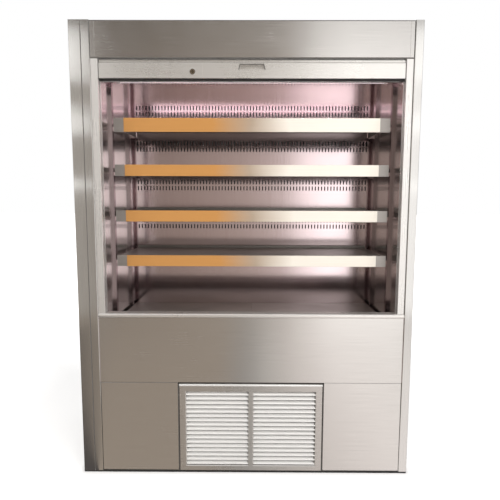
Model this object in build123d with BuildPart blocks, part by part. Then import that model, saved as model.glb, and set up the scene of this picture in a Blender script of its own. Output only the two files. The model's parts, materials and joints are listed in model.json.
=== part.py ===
from build123d import *
import math
import os

# Open multideck display fridge, millimetres. The floor is z = 0, the front looks along -Y and
# the origin is the middle of the footprint. The case itself is symmetric about x = case_x,
# because one end carries a separate finishing panel.

# Overall sizes
case_width = 1400.0
case_height = 1950.0
case_depth = 700.0
end_panel_width = 50.0
floor_gap = 8.0              # panels stop this far above the floor

# Walls and sheet
sheet = 1.5
post_width = 35.0            # front strip of each side wall
guide_width = 30.0
guide_depth = 40.0
liner_setback = 5.0          # inner side wall behind the guide's inner edge
panel_recess = 5.0           # cladding lies this far behind the posts
panel_gap = 0.8              # cladding to post
rear_wall_thickness = 40.0
roof_thickness = 40.0
edge_radius = 2.5

# Base
frame_z = 30.0
frame_height = 40.0
frame_wall = 3.0
frame_flange = 50.0
frame_plate = 2.0
cross_x = 200.0
foot_inset = 30.0
foot_pad_radius = 26.0
foot_pad_height = 8.0
foot_pad_sides = 12
foot_stem_radius = 6.0
foot_nut_height = 8.0
foot_boss_radius = 12.0
foot_boss_height = 20.0
shaft_clearance = 0.08       # radial, for every shaft in a hole

# Well and front
machine_top = 420.0
tub_floor = 40.0
tub_top = 712.0
sill_height = 18.0
sill_nose_radius = 8.0
front_return = 22.0
deck_z = 660.0
deck_flange = 25.0
deck_gap = 1.0
deck_front = 125.0           # behind the front of the case
liner_depth = 533.0          # slotted back panel behind the front of the case

# Louvred grille and kick panels
grille_width = 644.0
grille_height = 407.0
grille_border = 35.0
grille_sill = 26.0
grille_head = 38.0
grille_depth = 22.0          # thick part of the frame, round the louvres
grille_mullion = 23.0
grille_sheet = 2.0
louvre_count = 17
louvre_depth = 17.0
louvre_rise = 8.5
louvre_lip = 5.0
louvre_setback = 3.0         # behind the frame's face
louvre_start = 4.0           # lowest blade above the field's edge
louvre_thickness = 1.5
kick_gap = 1.0

# Canopy and shutter
fascia_height = 146.0
fascia_lip = 7.0
fascia_gap = 6.0
canopy_depth = 157.0
rail_setback = 6.0
rail_depth = 28.0
rail_face = 62.0
rail_step = 14.0
rail_step_setback = 5.0
rail_wall = 2.0
rail_edge = 1.6              # rounding of its front edges, less than its wall
rail_gap = 2.0               # rail end to guide
seal_height = 8.0
seal_width = 14.0
seal_edge = 3.5
seal_landing = 0.5           # seal to sill with the shutter down
guide_wall = 2.5
slot_width = 12.0
slot_depth = 17.0
slat_thickness = 8.0
slat_clearance = 2.0
roll_radius = 62.0
roll_clearance = 0.3
barrel_tube_radius = 30.0
barrel_shaft_radius = 10.0
barrel_end_gap = 0.5
barrel_drop = 78.0           # shaft below the top of the case
bracket_plate = 4.0
bracket_boss = 10.0
bracket_boss_radius = 20.0
ceiling_rise = 46.0          # ceiling above the seal
box_step_drop = 3.0          # box's floor below the fascia's lower edge
fold_lip = 1.2               # rounding of a folded panel's outer edges
honeycomb_height = 22.0
honeycomb_depth = 80.0
honeycomb_rise = 18.0        # honeycomb above the seal
honeycomb_lip = 5.0
honeycomb_columns = 16
honeycomb_rows = 2
honeycomb_wall = 2.0
lamp_width = 30.0
lamp_height = 18.0
lamp_inset = 45.0
lamp_radius = 10.0

# Pull and lock in the shutter rail
pull_width = 107.0           # along its lower edge
pull_height = 20.0
pull_angle = 75.0            # sides lean in towards the top
pull_drop = 20.0             # below the rail's top
pull_depth = 14.0
pull_bezel = 1.5             # bezel's width round the opening
bezel_height = 1.0           # bezel proud of the rail
lock_x = -245.0
lock_rise = 26.0             # above the rail's lower edge
lock_face_radius = 12.0
lock_barrel_radius = 9.0
lock_face_height = 2.0
cam_thickness = 3.0
cam_length = 26.0
cam_width = 9.0
cam_gap = 1.0
keyway_width = 2.0
keyway_height = 10.0
keyway_depth = 2.0
bolt_height = 12.0
bolt_thickness = 4.0
bolt_clearance = 0.5
shoe_plug = 20.0
shoe_clearance = 0.4         # tongue to each side of the guide's slot

# Shelves
shelf_count = 4
top_shelf_drop = 136.0       # highest ticket strip below the seal
shelf_pitch = 202.0
shelf_setback = 112.0        # ticket strip behind the front of the case
shelf_side_gap = 33.0        # tray to the side wall
shelf_back_gap = 12.0
shelf_lip = 8.0              # strip's top edge above the deck
shelf_side = 30.0
shelf_return = 14.0
strip_end_gap = 45.0         # ticket strip short of the tray's end
strip_edge = 1.0
strip_height = 50.0
top_strip_height = 60.0
strip_thickness = 3.0
clip_height = 8.0
clip_width = 14.0
pilaster_width = 24.0
pilaster_depth = 12.0
pilaster_front = 180.0       # behind the front of the case
pilaster_back = 470.0
pilaster_slot_width = 6.0
pilaster_slot_height = 14.0
pilaster_pitch = 101.0
pilaster_foot = 5.0          # pilaster above the deck

# Air slots in the back panel
back_slot_width = 6.0
back_slot_height = 22.0
back_slot_pitch = 240.0
back_slot_drop = 65.0        # middle of the upper row below each level's top edge
back_slot_step = 32.0        # lower row below the upper one
back_slot_margin = 40.0

# Refrigeration
fan_plate_y = 137.0          # behind the front of the case
fan_x = 300.0
fan_rise = 87.0              # fan's axis above the floor of the well
fan_radius = 74.0
fan_tip_gap = 4.0
fan_hub_radius = 18.0
fan_depth = 22.0
fan_blades = 6
blade_thickness = 2.0
blade_half_angle = 15.0      # half the angle that a blade takes up at its tip
blade_span = 0.4             # share of the hub's depth, each way
blade_camber = 0.1
blade_root = 0.6             # blades start inside the hub, share of its radius
blade_taper = 0.42           # width at the root, share of the width at the tip
hub_cap = 3.0                # closed end of the bore
motor_radius = 32.0
motor_length = 60.0
motor_gap = 3.0
motor_shaft_radius = 4.0
motor_arm = 8.0
motor_sides = 16
shaft_reach = 18.0           # motor's shaft into the hub
arm_foot = 0.8               # arm's end inside the motor, share of its radius
coil_side_gap = 116.0        # end plates to the side walls
suction_inset = 50.0         # suction pipe to the side wall
coil_front = 290.0
coil_depth = 200.0
coil_height = 150.0
coil_fins = 26
coil_fin_gap = 20.0
coil_core = 110.0
coil_rise = 8.0              # coil above the floor of the well
coil_plate = 4.0
bend_radius = 14.0
bend_tube = 5.0
bend_sides = 6
bend_count = 3
condenser_x = 130.0
condenser_width = 340.0
condenser_height = 290.0
condenser_depth = 50.0
condenser_front = 60.0
condenser_fins = 20
condenser_fin_gap = 8.0
condenser_core = 30.0
condenser_margin = 10.0
shroud_depth = 60.0
big_fan_radius = 130.0
big_fan_hub_radius = 32.0
big_fan_depth = 30.0
big_motor_radius = 45.0
big_motor_length = 70.0
compressor_y = 60.0
compressor_radius = 92.0
compressor_height = 230.0
compressor_base = 20.0
compressor_plate = 3.0
compressor_mount_radius = 12.0
compressor_mount_inset = 14.0
discharge_share = 0.35       # discharge stub, share of the pot's height
terminal_width = 60.0
terminal_reach = 28.0
terminal_z = (70.0, 140.0)   # above the pot's foot
pipe_radius = 6.0
pipe_bend = 24.0
pipe_sides = 6
tray_width = 400.0
tray_depth = 230.0
tray_height = 40.0
tray_wall = 2.0
tray_x = -330.0
control_width = 190.0
control_depth = 110.0
control_height = 300.0
control_front = 70.0         # behind the front of the case
control_row = 60.0           # switch and knob below the top of the box
control_x = -190.0
switch_recess = 14.0
switch_pivot = 6.0           # rocker's pins behind the box's face
rocker_waist = 8.0
rocker_tip = 6.0
rocker_back = 2.0
switch_side_gap = 0.5
switch_pin_radius = 2.0
switch_pin_length = 3.0
switch_width = 20.0
switch_height = 28.0
switch_offset = 45.0         # switch left of the middle of the box
knob_offset = 35.0           # knob right of it
switch_tilt = 7.0
switch_gap = 1.5
knob_radius = 17.0
knob_height = 15.0
knob_skirt = 9.0             # round part; the ridge stands higher
knob_ridge = 6.0
gland_inset = 140.0          # gland to the side wall
gland_z = 130.0
gland_bore_radius = 4.5
gland_radius = 11.0
gland_length = 18.0          # outside the rear cover
gland_margin = 0.5           # gland behind the plane of the back

# Places that follow from the sizes above, x measured from the middle of the case
case_x = end_panel_width / 2
half_case = case_width / 2
front_y = -case_depth / 2
back_y = case_depth / 2
post_inner = half_case - post_width
guide_inner = post_inner - guide_width
liner_x = guide_inner + liner_setback
clad_x = post_inner - panel_gap
panel_y = front_y + panel_recess
guide_back_y = panel_y + guide_depth
rear_inner_y = back_y - rear_wall_thickness
frame_top = frame_z + frame_height
plate_top = frame_top + frame_plate
well_floor_z = machine_top + tub_floor
sill_top = tub_top + sill_height
fascia_bottom = case_height - fascia_height
canopy_back_y = front_y + canopy_depth
rail_top = fascia_bottom - fascia_gap
rail_step_z = rail_top - rail_step
rail_bottom = rail_step_z - rail_face
seal_bottom = rail_bottom - seal_height
shutter_travel = seal_bottom - sill_top - seal_landing
rail_y = (panel_y + rail_setback, panel_y + rail_setback + rail_depth)
shutter_y = (rail_y[0] + rail_y[1]) / 2
lock_z = rail_bottom + lock_rise
pull_z = (rail_top - pull_drop - pull_height, rail_top - pull_drop)
rail_x = guide_inner - rail_gap
curtain_y = (shutter_y - slat_thickness / 2, shutter_y + slat_thickness / 2)
curtain_x = guide_inner + slot_depth - slat_clearance
barrel_y = curtain_y[1] + roll_clearance + roll_radius
barrel_z = case_height - barrel_drop
ceiling_z = seal_bottom + ceiling_rise
ceiling_under_z = ceiling_z - sheet
back_liner_y = front_y + liner_depth
shelf_y = front_y + shelf_setback
shelf_width = 2 * (liner_x - shelf_side_gap)
strip_length = shelf_width - 2 * strip_end_gap
top_shelf_z = seal_bottom - top_shelf_drop
deck_y = front_y + deck_front
fan_y = front_y + fan_plate_y
fan_z = well_floor_z + fan_rise
coil_end = liner_x - coil_side_gap
coil_width = 2 * (coil_end - coil_plate)
suction_x = liner_x - suction_inset
gland_x = liner_x - gland_inset


def level(z):
    # Horizontal plane at height z, with its origin on the case's middle.
    return Plane(origin=(case_x, 0, z))


def facing(y):
    # Upright plane at depth y that looks forward, with local x to the right and local y up.
    return Plane(origin=(case_x, y, 0), x_dir=(1, 0, 0), z_dir=(0, -1, 0))


def section(x):
    # Upright plane across the case at x, with local x to the back and local y up.
    return Plane(origin=(case_x + x, 0, 0), x_dir=(0, 1, 0), z_dir=(1, 0, 0))


def sided(side, a, b):
    # A span of x on one side of the case, lower value first.
    return (min(side * a, side * b), max(side * a, side * b))


def slab(x, y, z, mode=Mode.ADD):
    # A block between two values of x, y and z.
    with BuildSketch(level(z[0])) as plan:
        with Locations(((x[0] + x[1]) / 2, (y[0] + y[1]) / 2)):
            Rectangle(x[1] - x[0], y[1] - y[0])
    extrude(plan.sketch, amount=z[1] - z[0], mode=mode)


def rod(plane, centre, radius, length, mode=Mode.ADD):
    # A round bar that stands on a plane.
    with BuildSketch(plane) as disc:
        with Locations(centre):
            Circle(radius)
    extrude(disc.sketch, amount=length, mode=mode)


def prism(plane, centre, radius, length, sides):
    # A bar with flat sides that stands on a plane.
    with BuildSketch(plane) as polygon:
        with Locations(centre):
            RegularPolygon(radius, sides)
    extrude(polygon.sketch, amount=length)


def bar(outline, x, mode=Mode.ADD):
    # A closed outline in y and z, drawn out along x.
    with BuildSketch(section(x[0])) as profile:
        with BuildLine():
            Polyline(*outline, close=True)
        make_face()
    extrude(profile.sketch, amount=x[1] - x[0], mode=mode)


def folded(path, x, thickness=sheet, side=Side.LEFT, mode=Mode.ADD):
    # Sheet metal bent along a path in y and z, drawn out along x.
    with BuildSketch(section(x[0])) as profile:
        with BuildLine():
            Polyline(*path)
            offset(amount=thickness, side=side, closed=True, kind=Kind.INTERSECTION)
        make_face()
    extrude(profile.sketch, amount=x[1] - x[0], mode=mode)


def save(piece, name):
    piece.part.label = name
    export_step(piece.part, f"parts/{name}.step")


def save_group(pieces, name):
    # Solids that lie face to face in one node and stay separate.
    group = Compound([solid for piece in pieces for solid in piece.part.solids()])
    group.label = name
    export_step(group, f"parts/{name}.step")


os.makedirs("parts", exist_ok=True)

# Base frame: a ring of open channel with two cross members, four hexagonal bosses and a deck plate
foot_x = liner_x - foot_inset
foot_y = (guide_back_y + foot_inset, back_y - foot_inset)
foot_spots = [(x, y) for x in (-foot_x, foot_x) for y in foot_y]
flange_x = liner_x - frame_flange
flange_y = (guide_back_y + frame_flange, back_y - frame_flange)
with BuildPart() as base_frame:
    slab((-liner_x, liner_x), (guide_back_y, back_y - sheet), (frame_z, frame_top))
    slab((-flange_x, flange_x), flange_y, (frame_z, frame_top), Mode.SUBTRACT)
    slab(
        (-liner_x + frame_wall, liner_x - frame_wall),
        (guide_back_y + frame_wall, back_y - sheet - frame_wall),
        (frame_z + frame_wall, frame_top - frame_wall),
        Mode.SUBTRACT,
    )
    for x in (-cross_x, cross_x):
        slab(
            (x - frame_height / 2, x + frame_height / 2),
            (guide_back_y + frame_wall, back_y - sheet - frame_wall),
            (frame_z + frame_wall, frame_top),
        )
        slab(
            (x - frame_height / 2 + frame_wall, x + frame_height / 2 - frame_wall),
            (guide_back_y + frame_wall, back_y - sheet - frame_wall),
            (frame_z + frame_wall, frame_top - frame_wall),
            Mode.SUBTRACT,
        )
    for spot in foot_spots:
        prism(level(frame_z), spot, foot_boss_radius, foot_boss_height, 6)
    slab((-liner_x, liner_x), (guide_back_y, back_y - sheet), (frame_top, plate_top))
    for spot in foot_spots:
        rod(
            level(frame_z),
            spot,
            foot_stem_radius + shaft_clearance,
            foot_boss_height,
            Mode.SUBTRACT,
        )
save(base_frame, "base_frame")

# Levelling feet: a pad, a hexagon and a threaded stem that stands in the frame's boss
with BuildPart() as levelling_feet:
    for spot in foot_spots:
        prism(level(0), spot, foot_pad_radius, foot_pad_height, foot_pad_sides)
        prism(level(foot_pad_height), spot, foot_boss_radius, foot_nut_height, 6)
        rod(level(foot_pad_height), spot, foot_stem_radius, frame_z + foot_boss_height - foot_pad_height)
save(levelling_feet, "levelling_feet")


def side_wall(side):
    # An insulated wall: thick behind the guide, thin at the post and beside the shutter's roll.
    with BuildPart() as wall:
        slab(sided(side, post_inner, half_case), (front_y, back_y), (floor_gap, case_height))
        post_edges = wall.edges().filter_by(Axis.Z).group_by(Axis.Y)[0]
        fillet(post_edges, edge_radius)
        slab(sided(side, liner_x, post_inner), (guide_back_y, back_y), (frame_z, case_height))
        slab(
            sided(side, liner_x, post_inner),
            (guide_back_y, canopy_back_y),
            (fascia_bottom, case_height),
            Mode.SUBTRACT,
        )
    return wall


save(side_wall(-1), "side_wall_left")
save(side_wall(1), "side_wall_right")

# End panel: a finishing panel bolted to the left end, its seam to the post left visible
with BuildPart() as end_panel:
    slab((-half_case - end_panel_width, -half_case), (front_y, back_y), (floor_gap, case_height))
    fillet(end_panel.edges().filter_by(Axis.Z).group_by(Axis.Y)[0], edge_radius)
save(end_panel, "end_panel")

# Rear wall and roof: insulated panels between the side walls
with BuildPart() as rear_wall:
    slab((-liner_x, liner_x), (rear_inner_y, back_y), (machine_top, case_height))
save(rear_wall, "rear_wall")

with BuildPart() as roof_panel:
    slab(
        (-liner_x, liner_x),
        (canopy_back_y, rear_inner_y),
        (case_height - roof_thickness, case_height),
    )
save(roof_panel, "roof_panel")

# Insulated tub: floor of the well and the wall behind the front panel, with a radius between them
ledge_rise = 20.0            # ledge above the deck
ledge_z = deck_z + ledge_rise
ledge_width = 8.0
ledge_thickness = 3.0
well_radius = 12.0
drain_inset = 60.0
drain_spot = (tray_x, rear_inner_y - drain_inset)
drain_radius = 10.0
drain_wall = 2.0
drain_spout = 40.0
with BuildPart() as insulated_tub:
    slab((-liner_x, liner_x), (guide_back_y, rear_inner_y), (machine_top, well_floor_z))
    slab((-post_inner, post_inner), (panel_y + sheet, guide_back_y), (machine_top, tub_top))
    inner_corner = (
        insulated_tub.edges()
        .filter_by(Axis.X)
        .filter_by(lambda edge: abs(edge.center().Y - guide_back_y) < 0.01)
        .filter_by(lambda edge: abs(edge.center().Z - well_floor_z) < 0.01)
    )
    fillet(inner_corner, well_radius)
    slab(
        (-liner_x, liner_x),
        (guide_back_y, guide_back_y + ledge_width),
        (ledge_z - ledge_thickness, ledge_z),
    )
    pipe_hole = pipe_radius + shaft_clearance
    rod(level(machine_top), (suction_x, compressor_y), pipe_hole, tub_floor, Mode.SUBTRACT)
    rod(level(machine_top - drain_spout), drain_spot, drain_radius + drain_wall, drain_spout)
    rod(level(machine_top - drain_spout), drain_spot, drain_radius, drain_spout + tub_floor, Mode.SUBTRACT)
save(insulated_tub, "insulated_tub")

# Front panel: one wide sheet with its bottom edge turned under the tub
with BuildPart() as front_panel:
    folded(
        [(panel_y + front_return, machine_top), (panel_y + sheet, machine_top), (panel_y + sheet, tub_top)],
        (-clad_x, clad_x),
        side=Side.LEFT,
    )
    fillet(front_panel.faces().sort_by(Axis.Y)[0].edges(), fold_lip)
save(front_panel, "front_panel")

# Front sill: capping with a rounded nose, on which the guides stand and the shutter lands
with BuildPart() as front_sill:
    bar(
        [(front_y, tub_top), (front_y, sill_top), (guide_back_y, sill_top), (guide_back_y, tub_top)],
        (-clad_x, clad_x),
    )
    nose = front_sill.edges().filter_by(Axis.X).group_by(Axis.Y)[0]
    fillet(nose, sill_nose_radius)
save(front_sill, "front_sill")


def kick_panel(side):
    # A pan of sheet whose flanges reach back to the base frame.
    inner = grille_width / 2 + kick_gap
    outer_z = (floor_gap, machine_top - sheet - kick_gap)
    with BuildPart() as panel:
        slab(sided(side, inner, clad_x), (panel_y, guide_back_y), outer_z)
        slab(
            sided(side, inner + sheet, clad_x - sheet),
            (panel_y + sheet, guide_back_y),
            (outer_z[0] + sheet, outer_z[1] - sheet),
            Mode.SUBTRACT,
        )
        fillet(panel.faces().sort_by(Axis.Y)[0].edges(), fold_lip)
    return panel


save(kick_panel(-1), "kick_panel_left")
save(kick_panel(1), "kick_panel_right")

# Louvred grille: a deep frame with a mullion, and two fields of bent blades set into it
grille_z = (floor_gap, floor_gap + grille_height)
field_z = (grille_z[0] + grille_sill, grille_z[1] - grille_head)
field_x = (grille_mullion / 2, grille_width / 2 - grille_border)
with BuildPart() as grille_frame:
    half = grille_width / 2
    slab((-half, half), (front_y, guide_back_y), grille_z)
    fillet(grille_frame.faces().sort_by(Axis.Y)[0].edges(), edge_radius)
    for side in (-1, 1):
        slab(sided(side, *field_x), (front_y, guide_back_y), field_z, Mode.SUBTRACT)
    slab(
        (-half + grille_sheet, half - grille_sheet),
        (front_y + grille_depth, guide_back_y),
        (grille_z[0] + grille_sheet, grille_z[1] - grille_sheet),
        Mode.SUBTRACT,
    )
save(grille_frame, "grille_frame")

louvre_pitch = (field_z[1] - field_z[0]) / louvre_count
with BuildPart() as grille_louvres:
    for side in (-1, 1):
        for row in range(louvre_count):
            y = front_y + louvre_setback
            z = field_z[0] + louvre_start + row * louvre_pitch
            folded(
                [
                    (y, z),
                    (y, z + louvre_lip),
                    (y + louvre_depth, z + louvre_lip + louvre_rise),
                ],
                sided(side, *field_x),
                thickness=louvre_thickness,
                side=Side.RIGHT,
            )
save(grille_louvres, "grille_louvres")


# Guides: extrusions with a slot for the shutter, and keeper holes behind it at both ends of travel
keeper_gap = 1.0
keeper_z = (lock_z, lock_z - shutter_travel)
slot_y = (shutter_y - slot_width / 2, shutter_y + slot_width / 2)
slot_end = guide_inner + slot_depth


def guide(side):
    # The slot opens towards the display; closed chambers lie in front of, behind and beyond it.
    height = (sill_top, fascia_bottom)
    with BuildPart() as channel:
        slab(sided(side, guide_inner, post_inner), (panel_y, guide_back_y), height)
        fillet(channel.edges().filter_by(Axis.Z).group_by(Axis.Y)[0], edge_radius / 2)
        slab(sided(side, guide_inner, slot_end), slot_y, height, Mode.SUBTRACT)
        slab(
            sided(side, slot_end + guide_wall, post_inner - guide_wall),
            (panel_y + guide_wall, guide_back_y - guide_wall),
            height,
            Mode.SUBTRACT,
        )
        slab(
            sided(side, guide_inner + guide_wall, slot_end),
            (slot_y[1] + guide_wall, guide_back_y - guide_wall),
            height,
            Mode.SUBTRACT,
        )
        for z in keeper_z:
            slab(
                sided(side, slot_end, slot_end + guide_wall),
                (shutter_y - bolt_thickness / 2 - keeper_gap, shutter_y + bolt_thickness / 2 + keeper_gap),
                (z - bolt_height / 2 - keeper_gap, z + bolt_height / 2 + keeper_gap),
                Mode.SUBTRACT,
            )
    return channel


save(guide(-1), "guide_left")
save(guide(1), "guide_right")

# Fascia: folded cover over the shutter's roll, with a lip behind which the shutter hangs
with BuildPart() as fascia:
    folded(
        [
            (panel_y + fascia_lip, fascia_bottom + sheet),
            (panel_y + sheet, fascia_bottom + sheet),
            (panel_y + sheet, case_height - sheet),
            (canopy_back_y, case_height - sheet),
        ],
        (-clad_x, clad_x),
        side=Side.LEFT,
    )
    for side in (-1, 1):
        slab(
            sided(side, clad_x - sheet, clad_x),
            (panel_y + sheet, guide_back_y),
            (fascia_bottom + sheet, case_height - sheet),
        )
    fillet(fascia.faces().sort_by(Axis.Y)[0].edges(), fold_lip)
save(fascia, "fascia")

# Shutter box: a baffle between the roll and the cold-air duct, with a lip that carries the honeycomb
box_front_y = guide_back_y + sheet
comb_y = (box_front_y, box_front_y + honeycomb_depth)
comb_z = (seal_bottom + honeycomb_rise, seal_bottom + honeycomb_rise + honeycomb_height)
box_back_y = canopy_back_y
with BuildPart() as shutter_box:
    folded(
        [
            (box_front_y + honeycomb_lip, comb_z[0]),
            (box_front_y, comb_z[0]),
            (box_front_y, fascia_bottom - box_step_drop),
            (box_back_y, fascia_bottom - box_step_drop),
            (box_back_y, case_height - roof_thickness),
        ],
        (-liner_x, liner_x),
        side=Side.LEFT,
    )
save(shutter_box, "shutter_box")

# Ceiling liner: the display's ceiling, turned down at the front to hold the honeycomb
with BuildPart() as ceiling_liner:
    folded(
        [
            (comb_y[1] - honeycomb_lip, comb_z[0]),
            (comb_y[1], comb_z[0]),
            (comb_y[1], ceiling_z),
            (back_liner_y + sheet, ceiling_z),
        ],
        (-liner_x, liner_x),
        side=Side.RIGHT,
    )
save(ceiling_liner, "ceiling_liner")

# Air honeycomb: a grid of open cells that straightens the falling air curtain
with BuildPart() as air_honeycomb:
    slab((-liner_x, liner_x), comb_y, comb_z)
    cell_x = 2 * liner_x / honeycomb_columns
    cell_y = (comb_y[1] - comb_y[0] - 2 * honeycomb_lip) / honeycomb_rows
    with BuildSketch(level(comb_z[0])) as cells:
        with Locations((0, (comb_y[0] + comb_y[1]) / 2)):
            with GridLocations(cell_x, cell_y, honeycomb_columns, honeycomb_rows):
                Rectangle(cell_x - honeycomb_wall, cell_y - honeycomb_wall)
    extrude(cells.sketch, amount=honeycomb_height, mode=Mode.SUBTRACT)
save(air_honeycomb, "air_honeycomb")

# Canopy lamp: a batten under the ceiling with a half-round diffuser
lamp_y = comb_y[1] + sheet + lamp_inset
with BuildPart() as canopy_lamp:
    slab(
        (-shelf_width / 2, shelf_width / 2),
        (lamp_y - lamp_width / 2, lamp_y + lamp_width / 2),
        (ceiling_under_z - lamp_height, ceiling_under_z),
    )
    fillet(canopy_lamp.edges().filter_by(Axis.X).group_by(Axis.Z)[0], lamp_radius)
save(canopy_lamp, "canopy_lamp")

# Slotted back panel: two rows of air slots in every bay, on feet that reach the rear wall
shelf_tops = [top_shelf_z - n * shelf_pitch for n in range(shelf_count)]
slot_rows = [
    z - back_slot_drop - step for z in [ceiling_z] + shelf_tops for step in (0, back_slot_step)
]
back_slot_columns = int(2 * (liner_x - back_slot_margin) / back_slot_pitch)
deck_rest_z = deck_z - deck_flange
with BuildPart() as back_liner:
    slab((-liner_x, liner_x), (back_liner_y, back_liner_y + sheet), (deck_rest_z, ceiling_under_z))
    for z in slot_rows:
        with BuildSketch(facing(back_liner_y + sheet)) as slots:
            with Locations((0, z)):
                with GridLocations(back_slot_pitch, 1, back_slot_columns, 1):
                    Rectangle(back_slot_width, back_slot_height)
        extrude(slots.sketch, amount=sheet, mode=Mode.SUBTRACT)
    slab(
        (-liner_x, liner_x),
        (back_liner_y - front_return, back_liner_y + sheet),
        (deck_rest_z - sheet, deck_rest_z),
    )
save(back_liner, "back_liner")

# Pilasters: four slotted channels on the side walls that carry the shelves
pilaster_rows = [front_y + pilaster_front, front_y + pilaster_back]
pilaster_z = (deck_z + pilaster_foot, ceiling_under_z)
pilaster_slots = int((pilaster_z[1] - pilaster_z[0]) / pilaster_pitch) - 1
with BuildPart() as pilasters:
    for side in (-1, 1):
        for y in pilaster_rows:
            depth = sided(side, liner_x - pilaster_depth, liner_x)
            slab(depth, (y - pilaster_width / 2, y + pilaster_width / 2), pilaster_z)
            slab(
                sided(side, liner_x - pilaster_depth + sheet, liner_x),
                (y - pilaster_width / 2 + sheet, y + pilaster_width / 2 - sheet),
                pilaster_z,
                Mode.SUBTRACT,
            )
            face_x = side * (liner_x - pilaster_depth)
            with BuildSketch(section(min(face_x, face_x + side * sheet))) as holes:
                with Locations((y, (pilaster_z[0] + pilaster_z[1]) / 2)):
                    with GridLocations(1, pilaster_pitch, 1, pilaster_slots):
                        Rectangle(pilaster_slot_width, pilaster_slot_height)
            extrude(holes.sketch, amount=sheet, mode=Mode.SUBTRACT)
save(pilasters, "pilasters")

# Shelf clips: a hook in the pilaster and a seat under the shelf's side flange
clip_reach = 8.0
clip_gap = 1.0               # tray's side to the upright of the clip
with BuildPart() as shelf_clips:
    for top in shelf_tops:
        seat = top - shelf_lip - shelf_side
        for side in (-1, 1):
            for y in pilaster_rows:
                slab(
                    sided(side, shelf_width / 2 - clip_reach, liner_x - pilaster_depth),
                    (y - clip_width / 2, y + clip_width / 2),
                    (seat - clip_height, seat),
                )
                slab(
                    sided(side, shelf_width / 2 + clip_gap, liner_x - pilaster_depth),
                    (y - clip_width / 2, y + clip_width / 2),
                    (seat, seat + clip_height),
                )
save(shelf_clips, "shelf_clips")


def shelf_tray(top, height):
    # One sheet: return, front flange, deck step and rear upstand, with side flanges below the deck.
    deck = top - shelf_lip
    flange_y = shelf_y + strip_thickness
    back = back_liner_y - shelf_back_gap
    with BuildPart() as tray:
        folded(
            [
                (flange_y + shelf_return, top - height),
                (flange_y, top - height),
                (flange_y, top),
                (flange_y + 3 * sheet, top),
                (flange_y + 3 * sheet, deck),
                (back, deck),
                (back, deck + shelf_back_gap),
            ],
            (-shelf_width / 2, shelf_width / 2),
            side=Side.RIGHT,
        )
        for side in (-1, 1):
            slab(
                sided(side, shelf_width / 2 - sheet, shelf_width / 2),
                (flange_y + sheet, back),
                (deck - shelf_side, deck - sheet),
            )
    return tray


def ticket_strip(top, height):
    # A flat extrusion with eased front edges.
    with BuildPart() as strip:
        slab(
            (-strip_length / 2, strip_length / 2),
            (shelf_y, shelf_y + strip_thickness),
            (top - height, top),
        )
        fillet(strip.edges().filter_by(Axis.X).group_by(Axis.Y)[0], strip_edge)
    return strip


strip_heights = [top_strip_height] + [strip_height] * (shelf_count - 1)
for number, (top, height) in enumerate(zip(shelf_tops, strip_heights), start=1):
    save(shelf_tray(top, height), f"shelf_{number}_tray")
    save(ticket_strip(top, height), f"shelf_{number}_ticket_strip")


def deck_pan(side):
    # A lift-out pan with flanges all round; its front and rear flanges stand on the rests.
    outer = (deck_gap / 2, liner_x - pilaster_depth - deck_gap)
    depth = (deck_y, back_liner_y - deck_gap)
    with BuildPart() as pan:
        slab(sided(side, *outer), depth, (deck_rest_z, deck_z))
        slab(
            sided(side, outer[0] + sheet, outer[1] - sheet),
            (depth[0] + sheet, depth[1] - sheet),
            (deck_rest_z, deck_z - sheet),
            Mode.SUBTRACT,
        )
    return pan


save(deck_pan(-1), "deck_pan_left")
save(deck_pan(1), "deck_pan_right")

# Return-air grille: a slotted strip between the sill and the deck, welded on two legs; the front
# leg stands on the tub's ledge
return_gap = 1.0
return_y = (guide_back_y + return_gap, deck_y - return_gap - 2 * sheet)
return_drop = 25.0
return_z = sill_top - return_drop
return_slots = 16
return_slot_width = 60.0
return_slot_margin = 8.0
return_end_margin = 20.0
return_x = liner_x - deck_gap
with BuildPart() as return_top:
    slab((-return_x, return_x), return_y, (return_z - sheet, return_z))
    with BuildSketch(level(return_z - sheet)) as openings:
        with Locations((0, (return_y[0] + return_y[1]) / 2)):
            with GridLocations(2 * (liner_x - return_end_margin) / return_slots, 1, return_slots, 1):
                Rectangle(return_slot_width, return_y[1] - return_y[0] - 2 * return_slot_margin)
    extrude(openings.sketch, amount=sheet, mode=Mode.SUBTRACT)
with BuildPart() as front_leg:
    slab((-return_x, return_x), (return_y[0], return_y[0] + sheet), (ledge_z, return_z - sheet))
with BuildPart() as rear_leg:
    slab((-return_x, return_x), (return_y[1] - sheet, return_y[1]), (deck_rest_z, return_z - sheet))
save_group([return_top, front_leg, rear_leg], "return_grille")

# Fan plate: stands across the well, carries two motors on arms and the front edge of the deck
rest_width = 26.0
rotor_back = fan_y + sheet + fan_depth


def motor_mount(spot, wall_y, rotor_y, opening, radius, length):
    # A motor behind the rotor, its shaft reaching into the hub, on two arms from the wall.
    motor_y = rotor_y + motor_gap
    arm_y = motor_y + length / 2
    prism(facing(motor_y + length), spot, radius, length, motor_sides)
    rod(facing(motor_y), spot, motor_shaft_radius, motor_gap + shaft_reach)
    for side in (-1, 1):
        x = spot[0] + side * (opening + motor_arm)
        slab(
            (x - motor_arm / 2, x + motor_arm / 2),
            (wall_y, arm_y),
            (spot[1] - motor_arm, spot[1] + motor_arm),
        )
        inner_x = spot[0] + side * radius * arm_foot
        slab(
            (min(inner_x, x), max(inner_x, x)),
            (arm_y - motor_arm, arm_y),
            (spot[1] - motor_arm, spot[1] + motor_arm),
        )


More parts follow.
